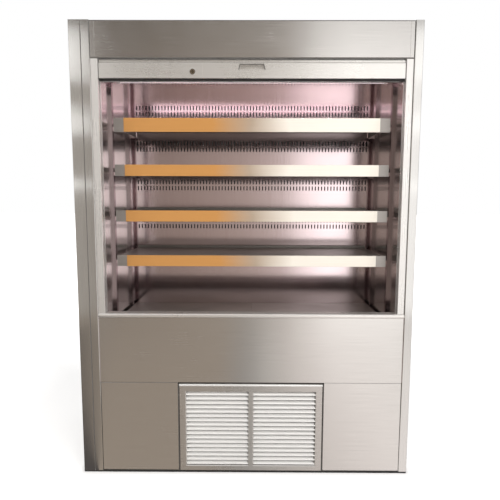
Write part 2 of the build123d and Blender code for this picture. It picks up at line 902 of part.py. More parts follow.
fan_spots = [(-fan_x, fan_z), (fan_x, fan_z)]
with BuildPart() as fan_plate:
    slab((-liner_x, liner_x), (fan_y, fan_y + sheet), (well_floor_z, deck_rest_z - sheet))
    slab(
        (-liner_x, liner_x),
        (fan_y - rest_width, fan_y + rest_width / 2),
        (deck_rest_z - sheet, deck_rest_z),
    )
    for spot in fan_spots:
        rod(facing(fan_y + sheet), spot, fan_radius + fan_tip_gap, sheet, Mode.SUBTRACT)
        motor_mount(spot, fan_y + sheet, rotor_back, fan_radius + fan_tip_gap, motor_radius, motor_length)
save(fan_plate, "fan_plate")


def fan_rotor(spot, back, depth, tip, hub, shaft):
    # Bored hub with pitched blades that widen towards their tips.
    x, z = case_x + spot[0], spot[1]
    middle_y = back - depth / 2
    half_angle = math.radians(blade_half_angle)
    reach = tip * math.cos(half_angle)
    half_chord = reach * math.tan(half_angle) - blade_thickness
    root = hub * blade_root
    with BuildPart() as blade:
        # a bent strip seen along the blade's radius, lower edge to the back and upper edge to the front
        with BuildSketch(Plane(origin=(x + root, middle_y, z), x_dir=(0, 1, 0), z_dir=(1, 0, 0))) as strip:
            with BuildLine():
                Polyline(
                    (depth * blade_span, -half_chord),
                    (depth * blade_camber, 0),
                    (-depth * blade_span, half_chord),
                )
                offset(amount=blade_thickness, side=Side.LEFT, closed=True, kind=Kind.INTERSECTION)
            make_face()
        extrude(strip.sketch, amount=reach - root)
        with BuildSketch(Plane(origin=(x, back, z), x_dir=(1, 0, 0), z_dir=(0, -1, 0))) as planform:
            with BuildLine():
                Polyline(
                    (root, -half_chord * blade_taper),
                    (reach, -half_chord),
                    (reach, half_chord),
                    (root, half_chord * blade_taper),
                    close=True,
                )
            make_face()
        extrude(planform.sketch, amount=depth, mode=Mode.INTERSECT)
    with BuildPart() as rotor:
        rod(facing(back), spot, hub, depth)
        for number in range(fan_blades):
            turn = 360 / fan_blades * number
            add(blade.part.rotate(Axis((x, 0, z), (0, 1, 0)), turn))
        rod(facing(back), spot, shaft + shaft_clearance, depth - hub_cap, Mode.SUBTRACT)
    return rotor


for name, spot in zip(("left", "right"), fan_spots):
    rotor = fan_rotor(spot, rotor_back, fan_depth, fan_radius, fan_hub_radius, motor_shaft_radius)
    save(rotor, f"evaporator_fan_{name}")

# Evaporator coil: a finned block on end plates, with return bends at its left end
coil_y = (front_y + coil_front, front_y + coil_front + coil_depth)
coil_z = (well_floor_z + coil_rise, well_floor_z + coil_rise + coil_height)
fin_pitch = coil_width / coil_fins
with BuildPart() as evaporator_coil:
    slab((-coil_width / 2, coil_width / 2), coil_y, coil_z)
    with BuildSketch(level(coil_z[0] + coil_core)) as gaps:
        with Locations((0, (coil_y[0] + coil_y[1]) / 2)):
            with GridLocations(fin_pitch, 1, coil_fins - 1, 1):
                Rectangle(coil_fin_gap, coil_depth)
    extrude(gaps.sketch, amount=coil_height - coil_core, mode=Mode.SUBTRACT)
    for side in (-1, 1):
        slab(
            sided(side, coil_width / 2, coil_width / 2 + coil_plate),
            coil_y,
            (well_floor_z, coil_z[1]),
        )
    for row in range(bend_count):
        y = coil_y[0] + coil_depth * (row + 0.5) / bend_count
        pivot = Plane(origin=(case_x - coil_end, y, coil_z[0] + coil_height / 2), z_dir=(0, 0, 1))
        with BuildSketch(pivot.offset(bend_radius)) as tube:
            RegularPolygon(bend_tube, bend_sides)
        revolve(tube.sketch, axis=Axis(pivot.origin, (0, 1, 0)), revolution_arc=-180)
save(evaporator_coil, "evaporator_coil")


# Shutter rail: a hollow extrusion with a set-back step along its top
rail_inner_y = (rail_y[0] + rail_wall, rail_y[1] - rail_wall)


def pull_block(inset, y, mode=Mode.ADD):
    # The pull's outline, wider at its lower edge, set in from its opening and drawn out along y.
    with BuildSketch(facing(y[1])) as outline:
        with Locations((0, (pull_z[0] + pull_z[1]) / 2)):
            Trapezoid(pull_width - 2 * inset, pull_height - 2 * inset, pull_angle)
    extrude(outline.sketch, amount=y[1] - y[0], mode=mode)


with BuildPart() as shutter_rail:
    with BuildSketch(section(-rail_x)) as rail_profile:
        with BuildLine():
            Polyline(
                (rail_y[0], rail_bottom),
                (rail_y[0], rail_step_z),
                (rail_y[0] + rail_step_setback, rail_step_z),
                (rail_y[0] + rail_step_setback, rail_top),
                (rail_y[1], rail_top),
                (rail_y[1], rail_bottom),
                close=True,
            )
        make_face()
        offset(amount=-rail_wall, kind=Kind.INTERSECTION, mode=Mode.SUBTRACT)
    extrude(rail_profile.sketch, amount=2 * rail_x)
    front_edges = shutter_rail.edges().filter_by(Axis.X).group_by(Axis.Y)[0]
    fillet(front_edges, rail_edge)
    pull_block(0, (rail_y[0], rail_inner_y[0]), Mode.SUBTRACT)
    rod(
        facing(rail_inner_y[0]),
        (lock_x, lock_z),
        lock_barrel_radius + shaft_clearance,
        rail_wall,
        Mode.SUBTRACT,
    )
save(shutter_rail, "shutter_rail")

# Rail seal: rubber strip that lands on the sill
with BuildPart() as rail_seal:
    slab(
        (-rail_x, rail_x),
        (shutter_y - seal_width / 2, shutter_y + seal_width / 2),
        (seal_bottom, rail_bottom),
    )
    fillet(rail_seal.edges().filter_by(Axis.X).group_by(Axis.Z)[0], seal_edge)
save(rail_seal, "rail_seal")

# Pull cup: a recessed finger pull with a thin bezel, narrower at its top
bezel_y = rail_y[0] - bezel_height
with BuildPart() as pull_cup:
    pull_block(0, (rail_y[0], rail_y[0] + pull_depth))
    pull_block(-pull_bezel, (bezel_y, rail_y[0]))
    pull_block(sheet, (bezel_y, rail_y[0] + pull_depth - sheet), Mode.SUBTRACT)
save(pull_cup, "pull_cup")

# Rail shoes: plugs in the rail's ends with tongues that run in the guides
bolt_y = (shutter_y - bolt_thickness / 2, shutter_y + bolt_thickness / 2)
bolt_z = (lock_z - bolt_height / 2, lock_z + bolt_height / 2)
with BuildPart() as rail_shoes:
    for side in (-1, 1):
        slab(
            sided(side, rail_x - shoe_plug, rail_x),
            rail_inner_y,
            (rail_bottom + rail_wall, rail_step_z - rail_wall),
        )
        slab(
            sided(side, rail_x, curtain_x),
            (slot_y[0] + shoe_clearance, slot_y[1] - shoe_clearance),
            (rail_bottom + rail_wall, rail_top - rail_wall),
        )
        slab(
            sided(side, rail_x - shoe_plug, curtain_x),
            (bolt_y[0] - bolt_clearance, bolt_y[1] + bolt_clearance),
            (bolt_z[0] - bolt_clearance, bolt_z[1] + bolt_clearance),
            Mode.SUBTRACT,
        )
save(rail_shoes, "rail_shoes")

# Lock bolts: two flat bars inside the rail, drawn apart by the lock's cam
bolt_inset = 1.0
bolt_start = 6.0
with BuildPart() as lock_bolt_left:
    slab((-curtain_x + bolt_inset, lock_x - bolt_start), bolt_y, bolt_z)
save(lock_bolt_left, "lock_bolt_left")
with BuildPart() as lock_bolt_right:
    slab((lock_x + bolt_start, curtain_x - bolt_inset), bolt_y, bolt_z)
save(lock_bolt_right, "lock_bolt_right")

# Lock cylinder: face with a keyway, barrel through the rail's front wall, cam in front of the bolts
cam_y = (bolt_y[0] - cam_gap - cam_thickness, bolt_y[0] - cam_gap)
with BuildPart() as lock_cylinder:
    rod(facing(rail_y[0]), (lock_x, lock_z), lock_face_radius, lock_face_height)
    chamfer(lock_cylinder.edges().group_by(Axis.Y)[0], lock_face_height / 3)
    rod(facing(cam_y[0]), (lock_x, lock_z), lock_barrel_radius, cam_y[0] - rail_y[0])
    with BuildSketch(facing(cam_y[1])) as cam:
        with Locations((lock_x, lock_z)):
            Rectangle(cam_width, cam_length)
    extrude(cam.sketch, amount=cam_thickness)
    slab(
        (lock_x - keyway_width / 2, lock_x + keyway_width / 2),
        (rail_y[0] - lock_face_height, rail_y[0] + keyway_depth),
        (lock_z - keyway_height / 2, lock_z + keyway_height / 2),
        Mode.SUBTRACT,
    )
save(lock_cylinder, "lock_cylinder")

# Shutter curtain: hinged slats between the rail and the roll, waisted where they meet
slat_count = 2
slat_pitch = (barrel_z - rail_top) / slat_count
slat_waist = 2.0
with BuildPart() as shutter_curtain:
    for number in range(slat_count):
        z = rail_top + number * slat_pitch
        bar(
            [
                (curtain_y[0] + slat_waist, z),
                (curtain_y[0], z + slat_waist),
                (curtain_y[0], z + slat_pitch - slat_waist),
                (curtain_y[0] + slat_waist, z + slat_pitch),
                (curtain_y[1] - slat_waist, z + slat_pitch),
                (curtain_y[1], z + slat_pitch - slat_waist),
                (curtain_y[1], z + slat_waist),
                (curtain_y[1] - slat_waist, z),
            ],
            (-curtain_x, curtain_x),
        )
save(shutter_curtain, "shutter_curtain")

# Shutter barrel: the rolled slats on their shaft; each flat is one slat's back
slats_per_turn = 11
barrel_end = post_inner - barrel_end_gap
with BuildPart() as shutter_barrel:
    with BuildSketch(section(-curtain_x)) as roll:
        with Locations((barrel_y, barrel_z)):
            RegularPolygon(roll_radius, slats_per_turn)
    extrude(roll.sketch, amount=2 * curtain_x)
    rod(section(-barrel_end), (barrel_y, barrel_z), barrel_shaft_radius, 2 * barrel_end)
save(shutter_barrel, "shutter_barrel")

# Barrel brackets: plates on the side walls with a bored boss for the shaft
with BuildPart() as barrel_brackets:
    for side in (-1, 1):
        bracket_y = (barrel_y - barrel_tube_radius, barrel_y + barrel_tube_radius)
        slab(
            sided(side, post_inner - bracket_plate, post_inner),
            bracket_y,
            (barrel_z - barrel_tube_radius, barrel_z + barrel_tube_radius),
        )
        outer_x = post_inner if side > 0 else -post_inner + bracket_plate + bracket_boss
        rod(
            section(outer_x - bracket_plate - bracket_boss),
            (barrel_y, barrel_z),
            bracket_boss_radius,
            bracket_plate + bracket_boss,
        )
        rod(
            section(outer_x - bracket_plate - bracket_boss),
            (barrel_y, barrel_z),
            barrel_shaft_radius + shaft_clearance,
            bracket_plate + bracket_boss,
            Mode.SUBTRACT,
        )
save(barrel_brackets, "barrel_brackets")

# Condenser: upright finned block behind the grille
condenser_y = (front_y + condenser_front, front_y + condenser_front + condenser_depth)
condenser_span = (condenser_x - condenser_width / 2, condenser_x + condenser_width / 2)
condenser_z = (plate_top, plate_top + condenser_height)
with BuildPart() as condenser_coil:
    slab(condenser_span, condenser_y, condenser_z)
    with BuildSketch(facing(condenser_y[1] - condenser_core)) as gaps:
        with Locations((condenser_x, (condenser_z[0] + condenser_z[1]) / 2)):
            with GridLocations(condenser_width / condenser_fins, 1, condenser_fins - 1, 1):
                Rectangle(condenser_fin_gap, condenser_height - 2 * condenser_margin)
    extrude(gaps.sketch, amount=condenser_depth - condenser_core, mode=Mode.SUBTRACT)
save(condenser_coil, "condenser_coil")

# Fan shroud: a pan behind the condenser with a round mouth, the fan motor on two arms
shroud_y = (condenser_y[1], condenser_y[1] + shroud_depth)
big_fan_spot = (condenser_x, plate_top + condenser_height / 2)
big_rotor_y = shroud_y[1] + big_fan_depth / 2
with BuildPart() as fan_shroud:
    slab(condenser_span, shroud_y, condenser_z)
    slab(
        (condenser_span[0] + sheet, condenser_span[1] - sheet),
        (shroud_y[0], shroud_y[1] - sheet),
        (condenser_z[0] + sheet, condenser_z[1] - sheet),
        Mode.SUBTRACT,
    )
    rod(facing(shroud_y[1]), big_fan_spot, big_fan_radius + fan_tip_gap, sheet, Mode.SUBTRACT)
    motor_mount(
        big_fan_spot,
        shroud_y[1],
        big_rotor_y,
        big_fan_radius + fan_tip_gap,
        big_motor_radius,
        big_motor_length,
    )
save(fan_shroud, "fan_shroud")

condenser_fan = fan_rotor(
    big_fan_spot, big_rotor_y, big_fan_depth, big_fan_radius, big_fan_hub_radius, motor_shaft_radius
)
save(condenser_fan, "condenser_fan")

# Compressor: a domed pot on rubber mounts, with pipe stubs and a terminal cover
stub_wall = 3.0
stub_radius = pipe_radius + stub_wall
stub_length = 10.0
stub_root = 10.0             # stub's length inside the pot
pot_z = plate_top + compressor_base
pot_top = pot_z + compressor_height
discharge_z = pot_z + discharge_share * compressor_height
pot_outline = [         # shares of the pot's radius and height, foot to dome
    (0.0, 0.0),
    (0.85, 0.0),
    (1.0, 0.08),
    (1.0, 0.8),
    (0.6, 1.0),
    (0.0, 1.0),
]
with BuildPart() as compressor:
    middle = Vector(case_x + condenser_x, compressor_y, pot_z)
    with BuildSketch(Plane(origin=middle, x_dir=(1, 0, 0), z_dir=(0, -1, 0))) as pot_half:
        with BuildLine():
            Polyline(
                *[(share * compressor_radius, rise * compressor_height) for share, rise in pot_outline],
                close=True,
            )
        make_face()
    revolve(pot_half.sketch, axis=Axis(middle, (0, 0, 1)))
    slab(
        (condenser_x - compressor_radius, condenser_x + compressor_radius),
        (compressor_y - compressor_radius, compressor_y + compressor_radius),
        (pot_z - compressor_plate, pot_z),
    )
    for side in (-1, 1):
        for end in (-1, 1):
            mount_spot = (
                condenser_x + side * (compressor_radius - compressor_mount_inset),
                compressor_y + end * (compressor_radius - compressor_mount_inset),
            )
            prism(
                level(plate_top),
                mount_spot,
                compressor_mount_radius,
                compressor_base - compressor_plate,
                pipe_sides,
            )
    prism(
        level(pot_top - stub_root),
        (condenser_x, compressor_y),
        stub_radius,
        stub_length + stub_root,
        pipe_sides,
    )
    prism(
        section(condenser_x - compressor_radius - stub_length),
        (compressor_y, discharge_z),
        stub_radius,
        stub_length + stub_root,
        pipe_sides,
    )
    slab(
        (condenser_x + compressor_radius - stub_root, condenser_x + compressor_radius + terminal_reach),
        (compressor_y - terminal_width / 2, compressor_y + terminal_width / 2),
        (pot_z + terminal_z[0], pot_z + terminal_z[1]),
    )
save(compressor, "compressor")

# Refrigerant pipes: suction up through the tub to the coil, discharge forward to the condenser
loop_z = machine_top - pipe_bend
suction_route = [
    (condenser_x, compressor_y, pot_top + stub_length),
    (condenser_x, compressor_y, loop_z),
    (suction_x, compressor_y, loop_z),
    (suction_x, compressor_y, coil_z[0] + coil_height / 2),
    (coil_end, compressor_y, coil_z[0] + coil_height / 2),
]
discharge_x = condenser_span[0] + 2 * pipe_radius
discharge_route = [
    (condenser_x - compressor_radius - stub_length, compressor_y, discharge_z),
    (discharge_x, compressor_y, discharge_z),
    (discharge_x, compressor_y, loop_z),
    (discharge_x, (condenser_y[0] + condenser_y[1]) / 2, loop_z),
    (discharge_x, (condenser_y[0] + condenser_y[1]) / 2, condenser_z[1]),
]


def pipe(route):
    # A round tube along straight runs joined by tangent arcs.
    points = [(case_x + x, y, z) for x, y, z in route]
    with BuildPart() as tube:
        with BuildLine() as line:
            FilletPolyline(*points, radius=pipe_bend)
        path = line.wire()
        with BuildSketch(Plane(origin=path @ 0, z_dir=path % 0)) as ring:
            RegularPolygon(pipe_radius, pipe_sides)
        sweep(ring.sketch, path=path)
    return tube


with BuildPart() as refrigerant_pipes:
    add(pipe(suction_route).part)
    add(pipe(discharge_route).part)
save(refrigerant_pipes, "refrigerant_pipes")

# Drip tray: an open pan under the drain spout
tray_y = (rear_inner_y - tray_depth, rear_inner_y)
with BuildPart() as drip_tray:
    slab((tray_x - tray_width / 2, tray_x + tray_width / 2), tray_y, (plate_top, plate_top + tray_height))
    slab(
        (tray_x - tray_width / 2 + tray_wall, tray_x + tray_width / 2 - tray_wall),
        (tray_y[0] + tray_wall, tray_y[1] - tray_wall),
        (plate_top + tray_wall, plate_top + tray_height),
        Mode.SUBTRACT,
    )
save(drip_tray, "drip_tray")

# Control box: closed box beside the condenser, reached when the grille is off
control_y = (front_y + control_front, front_y + control_front + control_depth)
control_z = (plate_top, plate_top + control_height)
switch_spot = (control_x - switch_offset, control_z[1] - control_row)
switch_x = (switch_spot[0] - switch_width / 2, switch_spot[0] + switch_width / 2)
switch_pivot_y = control_y[0] + switch_pivot
knob_spot = (control_x + knob_offset, control_z[1] - control_row)
knob_shaft_radius = 3.0
knob_shaft_length = 12.0
knob_standoff = 0.5
knob_bore_end = 1.0
knob_bore_depth = knob_shaft_length + knob_bore_end
with BuildPart() as control_box:
    slab((control_x - control_width / 2, control_x + control_width / 2), control_y, control_z)
    fillet(control_box.edges().filter_by(Axis.Z).group_by(Axis.Y)[0], edge_radius)
    slab(
        (switch_x[0] - switch_side_gap, switch_x[1] + switch_side_gap),
        (control_y[0], control_y[0] + switch_recess),
        (
            switch_spot[1] - switch_height / 2 - switch_gap,
            switch_spot[1] + switch_height / 2 + switch_gap,
        ),
        Mode.SUBTRACT,
    )
    rod(
        section(switch_x[0] - switch_side_gap - switch_pin_length),
        (switch_pivot_y, switch_spot[1]),
        switch_pin_radius + shaft_clearance,
        switch_width + 2 * (switch_side_gap + switch_pin_length),
        Mode.SUBTRACT,
    )
    rod(
        facing(control_y[0] + knob_bore_depth),
        knob_spot,
        knob_shaft_radius + shaft_clearance,
        knob_bore_depth,
        Mode.SUBTRACT,
    )
save(control_box, "control_box")

# Power switch: a rocker that tips about its pins, shown in its off position
with BuildPart() as power_switch:
    tall = switch_height / 2
    pivot = Plane(
        origin=(case_x + switch_x[0], switch_pivot_y, switch_spot[1]),
        x_dir=Vector(0, 1, 0).rotate(Axis.X, switch_tilt),
        z_dir=(1, 0, 0),
    )
    with BuildSketch(pivot) as rocker:
        with BuildLine():
            Polyline(
                (-rocker_waist, 0),
                (-rocker_tip, tall),
                (rocker_back, tall - rocker_back),
                (rocker_back, rocker_back - tall),
                (-rocker_tip, -tall),
                close=True,
            )
        make_face()
    extrude(rocker.sketch, amount=switch_width)
    rod(
        section(switch_x[0] - switch_pin_length),
        (switch_pivot_y, switch_spot[1]),
        switch_pin_radius,
        switch_width + 2 * switch_pin_length,
    )
save(power_switch, "power_switch")

# Thermostat knob: round knob with a pointer ridge on a short shaft
with BuildPart() as thermostat_knob:
    knob_y = control_y[0] - knob_standoff
    rod(facing(control_y[0] + knob_shaft_length), knob_spot, knob_shaft_radius, knob_bore_depth)
    rod(facing(knob_y), knob_spot, knob_radius, knob_skirt)
    slab(
        (knob_spot[0] - knob_ridge / 2, knob_spot[0] + knob_ridge / 2),
        (knob_y - knob_height, knob_y),
        (knob_spot[1] - knob_radius + knob_standoff, knob_spot[1] + knob_radius - knob_standoff),
    )
save(thermostat_knob, "thermostat_knob")

# Rear cover: vented sheet that closes the machine space, set in so that the gland stays flush
gland_end_y = back_y - gland_margin
cover_y = (gland_end_y - gland_length - sheet, gland_end_y - gland_length)
thread_radius = 8.0
vent_rows = 9
vent_columns = 2
vent_width = 280.0
vent_height = 10.0
vent_pitch_x = 320.0
vent_pitch_z = 28.0
vent_x = -150.0
with BuildPart() as rear_cover:
    slab((-liner_x, liner_x), cover_y, (plate_top, machine_top))
    with BuildSketch(facing(cover_y[1])) as vents:
        with Locations((vent_x, (plate_top + machine_top) / 2)):
            with GridLocations(vent_pitch_x, vent_pitch_z, vent_columns, vent_rows):
                Rectangle(vent_width, vent_height)
    extrude(vents.sketch, amount=sheet, mode=Mode.SUBTRACT)
    rod(facing(cover_y[1]), (gland_x, gland_z), thread_radius, sheet, Mode.SUBTRACT)
save(rear_cover, "rear_cover")

# Cable gland: hexagon and ribbed cap outside the cover, locknut inside
gland_hex_length = 9.0
locknut_length = 5.0
cap_flats = 12
cap_radius = 9.5
hexagon_radius = 12.0
with BuildPart() as cable_gland:
    prism(facing(gland_end_y), (gland_x, gland_z), cap_radius, gland_length, cap_flats)
    prism(facing(cover_y[1] + gland_hex_length), (gland_x, gland_z), hexagon_radius, gland_hex_length, 6)
    rod(facing(cover_y[1]), (gland_x, gland_z), thread_radius, sheet)
    prism(facing(cover_y[0]), (gland_x, gland_z), gland_radius, locknut_length, 6)
    rod(
        facing(gland_end_y),
        (gland_x, gland_z),
        gland_bore_radius,
        gland_length + sheet + locknut_length,
        Mode.SUBTRACT,
    )
save(cable_gland, "cable_gland")
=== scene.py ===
import bpy
import bmesh
import json
import math
from mathutils import Matrix, Vector


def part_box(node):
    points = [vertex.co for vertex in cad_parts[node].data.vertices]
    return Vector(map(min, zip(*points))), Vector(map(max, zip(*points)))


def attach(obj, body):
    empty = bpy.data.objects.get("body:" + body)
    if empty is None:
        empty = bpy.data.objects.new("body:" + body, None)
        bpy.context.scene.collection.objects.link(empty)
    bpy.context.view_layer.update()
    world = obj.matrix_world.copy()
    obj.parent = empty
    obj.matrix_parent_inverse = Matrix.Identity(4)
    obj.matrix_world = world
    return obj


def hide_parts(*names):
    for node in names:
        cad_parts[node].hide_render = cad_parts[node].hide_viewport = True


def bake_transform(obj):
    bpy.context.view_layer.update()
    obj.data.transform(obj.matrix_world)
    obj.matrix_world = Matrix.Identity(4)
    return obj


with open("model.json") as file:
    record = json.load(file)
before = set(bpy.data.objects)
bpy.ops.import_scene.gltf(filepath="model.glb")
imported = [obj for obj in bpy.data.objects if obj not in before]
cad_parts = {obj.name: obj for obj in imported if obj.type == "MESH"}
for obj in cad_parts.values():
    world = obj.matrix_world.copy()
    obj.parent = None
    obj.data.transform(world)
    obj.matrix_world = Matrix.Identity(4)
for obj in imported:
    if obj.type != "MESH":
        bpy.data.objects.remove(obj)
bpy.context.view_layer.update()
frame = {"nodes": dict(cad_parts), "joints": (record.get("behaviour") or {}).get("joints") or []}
nodes = frame["nodes"]
caseMiddle = 0.025  # x of the opening's middle, off zero by half the end panel
shelves = (1, 2, 3, 4)
print("packed model loaded,", len(nodes), "nodes")

# camera
cameraSet = {
    "place": (0.0288, -2.3854, 1.2407),
    "tilt": 83.533,  # degrees up from looking straight down
    "turn": 0.262,
    "roll": 0.165,
    "lens": 34.52,
    "sensor": 36,
}


def makeCamera(c):
    data = bpy.data.cameras.new("camera")
    data.lens = c["lens"]
    data.sensor_width = c["sensor"]
    cam = bpy.data.objects.new("camera", data)
    bpy.context.scene.collection.objects.link(cam)
    spin = (
        Matrix.Rotation(math.radians(c["turn"]), 4, "Z")
        @ Matrix.Rotation(math.radians(c["tilt"]), 4, "X")
        @ Matrix.Rotation(math.radians(c["roll"]), 4, "Z")
    )
    cam.matrix_world = Matrix.Translation(c["place"]) @ spin
    bpy.context.scene.camera = cam


makeCamera(cameraSet)
bpy.context.scene.view_settings.view_transform = "Standard"
print("camera set")


# small helpers for meshes and node trees
def placeMesh(name, mesh, mat):
    obj = bpy.data.objects.new(name, mesh)
    bpy.context.scene.collection.objects.link(obj)
    mesh.materials.append(mat)
    return obj


def addMesh(name, verts, faces, mat):
    mesh = bpy.data.meshes.new(name)
    mesh.from_pydata(verts, [], faces)
    mesh.validate()
    return placeMesh(name, mesh, mat)


def fromBmesh(name, bm, mat, smoothAngle=None):
    bmesh.ops.recalc_face_normals(bm, faces=bm.faces)
    mesh = bpy.data.meshes.new(name)
    bm.to_mesh(mesh)
    bm.free()
    if smoothAngle:
        for poly in mesh.polygons:
            poly.use_smooth = True
        mesh.set_sharp_from_angle(angle=math.radians(smoothAngle))
    return placeMesh(name, mesh, mat)


def addBox(bm, low, high, ease=0.0):
    made = bmesh.ops.create_cube(bm, size=1)["verts"]
    for v in made:
        v.co = Vector([(a + b) / 2 + (b - a) * c for a, b, c in zip(low, high, v.co)])
    if ease:
        edges = list({e for v in made for e in v.link_edges})
        bmesh.ops.bevel(bm, geom=edges, offset=ease, segments=2, profile=0.6, affect="EDGES")


def joinRings(bm, a, b):
    for k in range(len(a)):
        nxt = (k + 1) % len(a)
        bm.faces.new((a[k], a[nxt], b[nxt], b[k]))


def addPrism(bm, a, b):
    # closed form between two rings of points
    joinRings(bm, a, b)
    bm.faces.new(a)
    bm.faces.new(list(reversed(b)))


def addPlate(bm, outline, front, back):
    # a flat plate with the (x, z) outline, between two depths
    addPrism(bm, *[[bm.verts.new((x, y, z)) for x, z in outline] for y in (front, back)])


def addTurned(bm, start, axis, profile, sides):
    # a turned form from (radius, distance along the axis) pairs, closed where the radius is 0
    start, axis = Vector(start), Vector(axis).normalized()
    turn = axis.to_track_quat("Z", "Y")
    angles = [2 * math.pi * k / sides for k in range(sides)]
    rings = []
    for radius, along in profile:
        if radius == 0:
            rings.append([bm.verts.new(start + axis * along)])
            continue
        spots = [Vector((radius * math.cos(a), radius * math.sin(a), along)) for a in angles]
        rings.append([bm.verts.new(start + turn @ spot) for spot in spots])
    for a, b in zip(rings, rings[1:]):
        for k in range(sides):
            nxt = (k + 1) % sides
            corners = [a[k % len(a)], a[nxt % len(a)], b[nxt % len(b)], b[k % len(b)]]
            bm.faces.new(list(dict.fromkeys(corners)))


def settle(piece, body, slotName, *replaced):
    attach(piece, body)
    if replaced:
        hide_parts(*replaced)


def startMaterial(name):
    mat = bpy.data.materials.new(name)
    mat.use_nodes = True
    return mat, mat.node_tree, mat.node_tree.nodes["Principled BSDF"]


def addNode(tree, kind, inputs=None, **settings):
    node = tree.nodes.new("ShaderNode" + kind)
    for key, value in settings.items():
        setattr(node, key, value)
    for key, value in (inputs or {}).items():
        node.inputs[key].default_value = value
    return node


def splitPlace(tree):
    place = addNode(tree, "TexCoord")
    split = addNode(tree, "SeparateXYZ")
    tree.links.new(place.outputs["Object"], split.inputs["Vector"])
    return split


def stretchedNoise(tree, scale, detail, distortion=0.0):
    place = addNode(tree, "TexCoord")
    stretch = addNode(tree, "Mapping", {"Scale": scale})
    settings = {"Scale": 1.0, "Detail": detail, "Distortion": distortion, "Roughness": 0.55}
    noise = addNode(tree, "TexNoise", settings)
    tree.links.new(place.outputs["Object"], stretch.inputs["Vector"])
    tree.links.new(stretch.outputs["Vector"], noise.inputs["Vector"])
    return noise.outputs["Fac"]


def spread(tree, fac, low, high, fromLow=0.3, fromHigh=0.7):
    settings = {"From Min": fromLow, "From Max": fromHigh, "To Min": low, "To Max": high}
    ramp = addNode(tree, "MapRange", settings)
    tree.links.new(fac, ramp.inputs["Value"])
    return ramp.outputs["Result"]


def mixTones(tree, fac, toneA, toneB, fromLow=0.3, fromHigh=0.7):
    mix = addNode(tree, "Mix", {6: (*toneA, 1), 7: (*toneB, 1)}, data_type="RGBA")
    tree.links.new(spread(tree, fac, 0, 1, fromLow, fromHigh), mix.inputs[0])
    return mix.outputs[2]


def multiply(tree, a, b):
    total = addNode(tree, "Math", operation="MULTIPLY")
    tree.links.new(a, total.inputs[0])
    tree.links.new(b, total.inputs[1])
    return total.outputs[0]


def addBump(tree, shader, heights):
    # (height, strength, distance) of each layer, the coarsest first
    last = None
    for fac, strength, distance in heights:
        bump = addNode(tree, "Bump", {"Strength": strength, "Distance": distance})
        tree.links.new(fac, bump.inputs["Height"])
        if last:
            tree.links.new(last.outputs["Normal"], bump.inputs["Normal"])
        last = bump
    tree.links.new(last.outputs["Normal"], shader.inputs["Normal"])


# brushed sheet: streaks run along the grain, the blur of its shine runs across them
grainScales = {"x": (5, 620, 620), "z": (620, 620, 5), "y": (620, 5, 620)}
waveScales = {"x": (4.5, 0.8, 0.8), "z": (0.8, 0.8, 4.5), "y": (2, 2, 2)}


def brushedMetal(name, tone, dark, grain, rough=(0.2, 0.26), aniso=0.85, wave=0.0012, metallic=1.0):
    mat, tree, shader = startMaterial(name)
    streaks = stretchedNoise(tree, grainScales[grain], detail=4)
    slow = stretchedNoise(tree, waveScales[grain], detail=1)
    smudge = stretchedNoise(tree, (6, 6, 6), detail=5, distortion=0.4)
    tree.links.new(mixTones(tree, streaks, dark, tone), shader.inputs["Base Color"])
    blur = multiply(tree, spread(tree, streaks, *rough), spread(tree, smudge, 0.88, 1.12))
    tree.links.new(blur, shader.inputs["Roughness"])
    shader.inputs["Metallic"].default_value = metallic
    if aniso:
        shader.inputs["Anisotropic"].default_value = aniso
        shader.inputs["Anisotropic Rotation"].default_value = 0.25 if grain == "x" else 0.0
        turn = addNode(tree, "Tangent", direction_type="RADIAL", axis="Z")
        tree.links.new(turn.outputs["Tangent"], shader.inputs["Tangent"])
    addBump(tree, shader, [(slow, 1.0, wave), (streaks, 0.06, 0.0003)])
    return mat


def galvanisedSheet(name, tone, dark):
    mat, tree, shader = startMaterial(name)
    place = addNode(tree, "TexCoord")
    spangle = addNode(tree, "TexVoronoi", {"Scale": 55.0}, feature="F1")
    tree.links.new(place.outputs["Object"], spangle.inputs["Vector"])
    colour = mixTones(tree, spangle.outputs["Color"], dark, tone, 0.0, 1.0)
    tree.links.new(colour, shader.inputs["Base Color"])
    cloud = stretchedNoise(tree, (9, 9, 9), detail=4)
    tree.links.new(spread(tree, cloud, 0.38, 0.56), shader.inputs["Roughness"])
    shader.inputs["Metallic"].default_value = 0.85
    addBump(tree, shader, [(cloud, 0.25, 0.002)])
    return mat


def moulded(name, tone, dark, rough=(0.4, 0.55), grain=900, coat=0.0):
    mat, tree, shader = startMaterial(name)
    fine = stretchedNoise(tree, (grain, grain, grain), detail=2)
    dust = stretchedNoise(tree, (14, 14, 14), detail=5, distortion=0.6)
    tree.links.new(mixTones(tree, dust, dark, tone), shader.inputs["Base Color"])
    tree.links.new(spread(tree, dust, *rough), shader.inputs["Roughness"])
    shader.inputs["Coat Weight"].default_value = coat
    addBump(tree, shader, [(fine, 0.12, 0.0004)])
    return mat


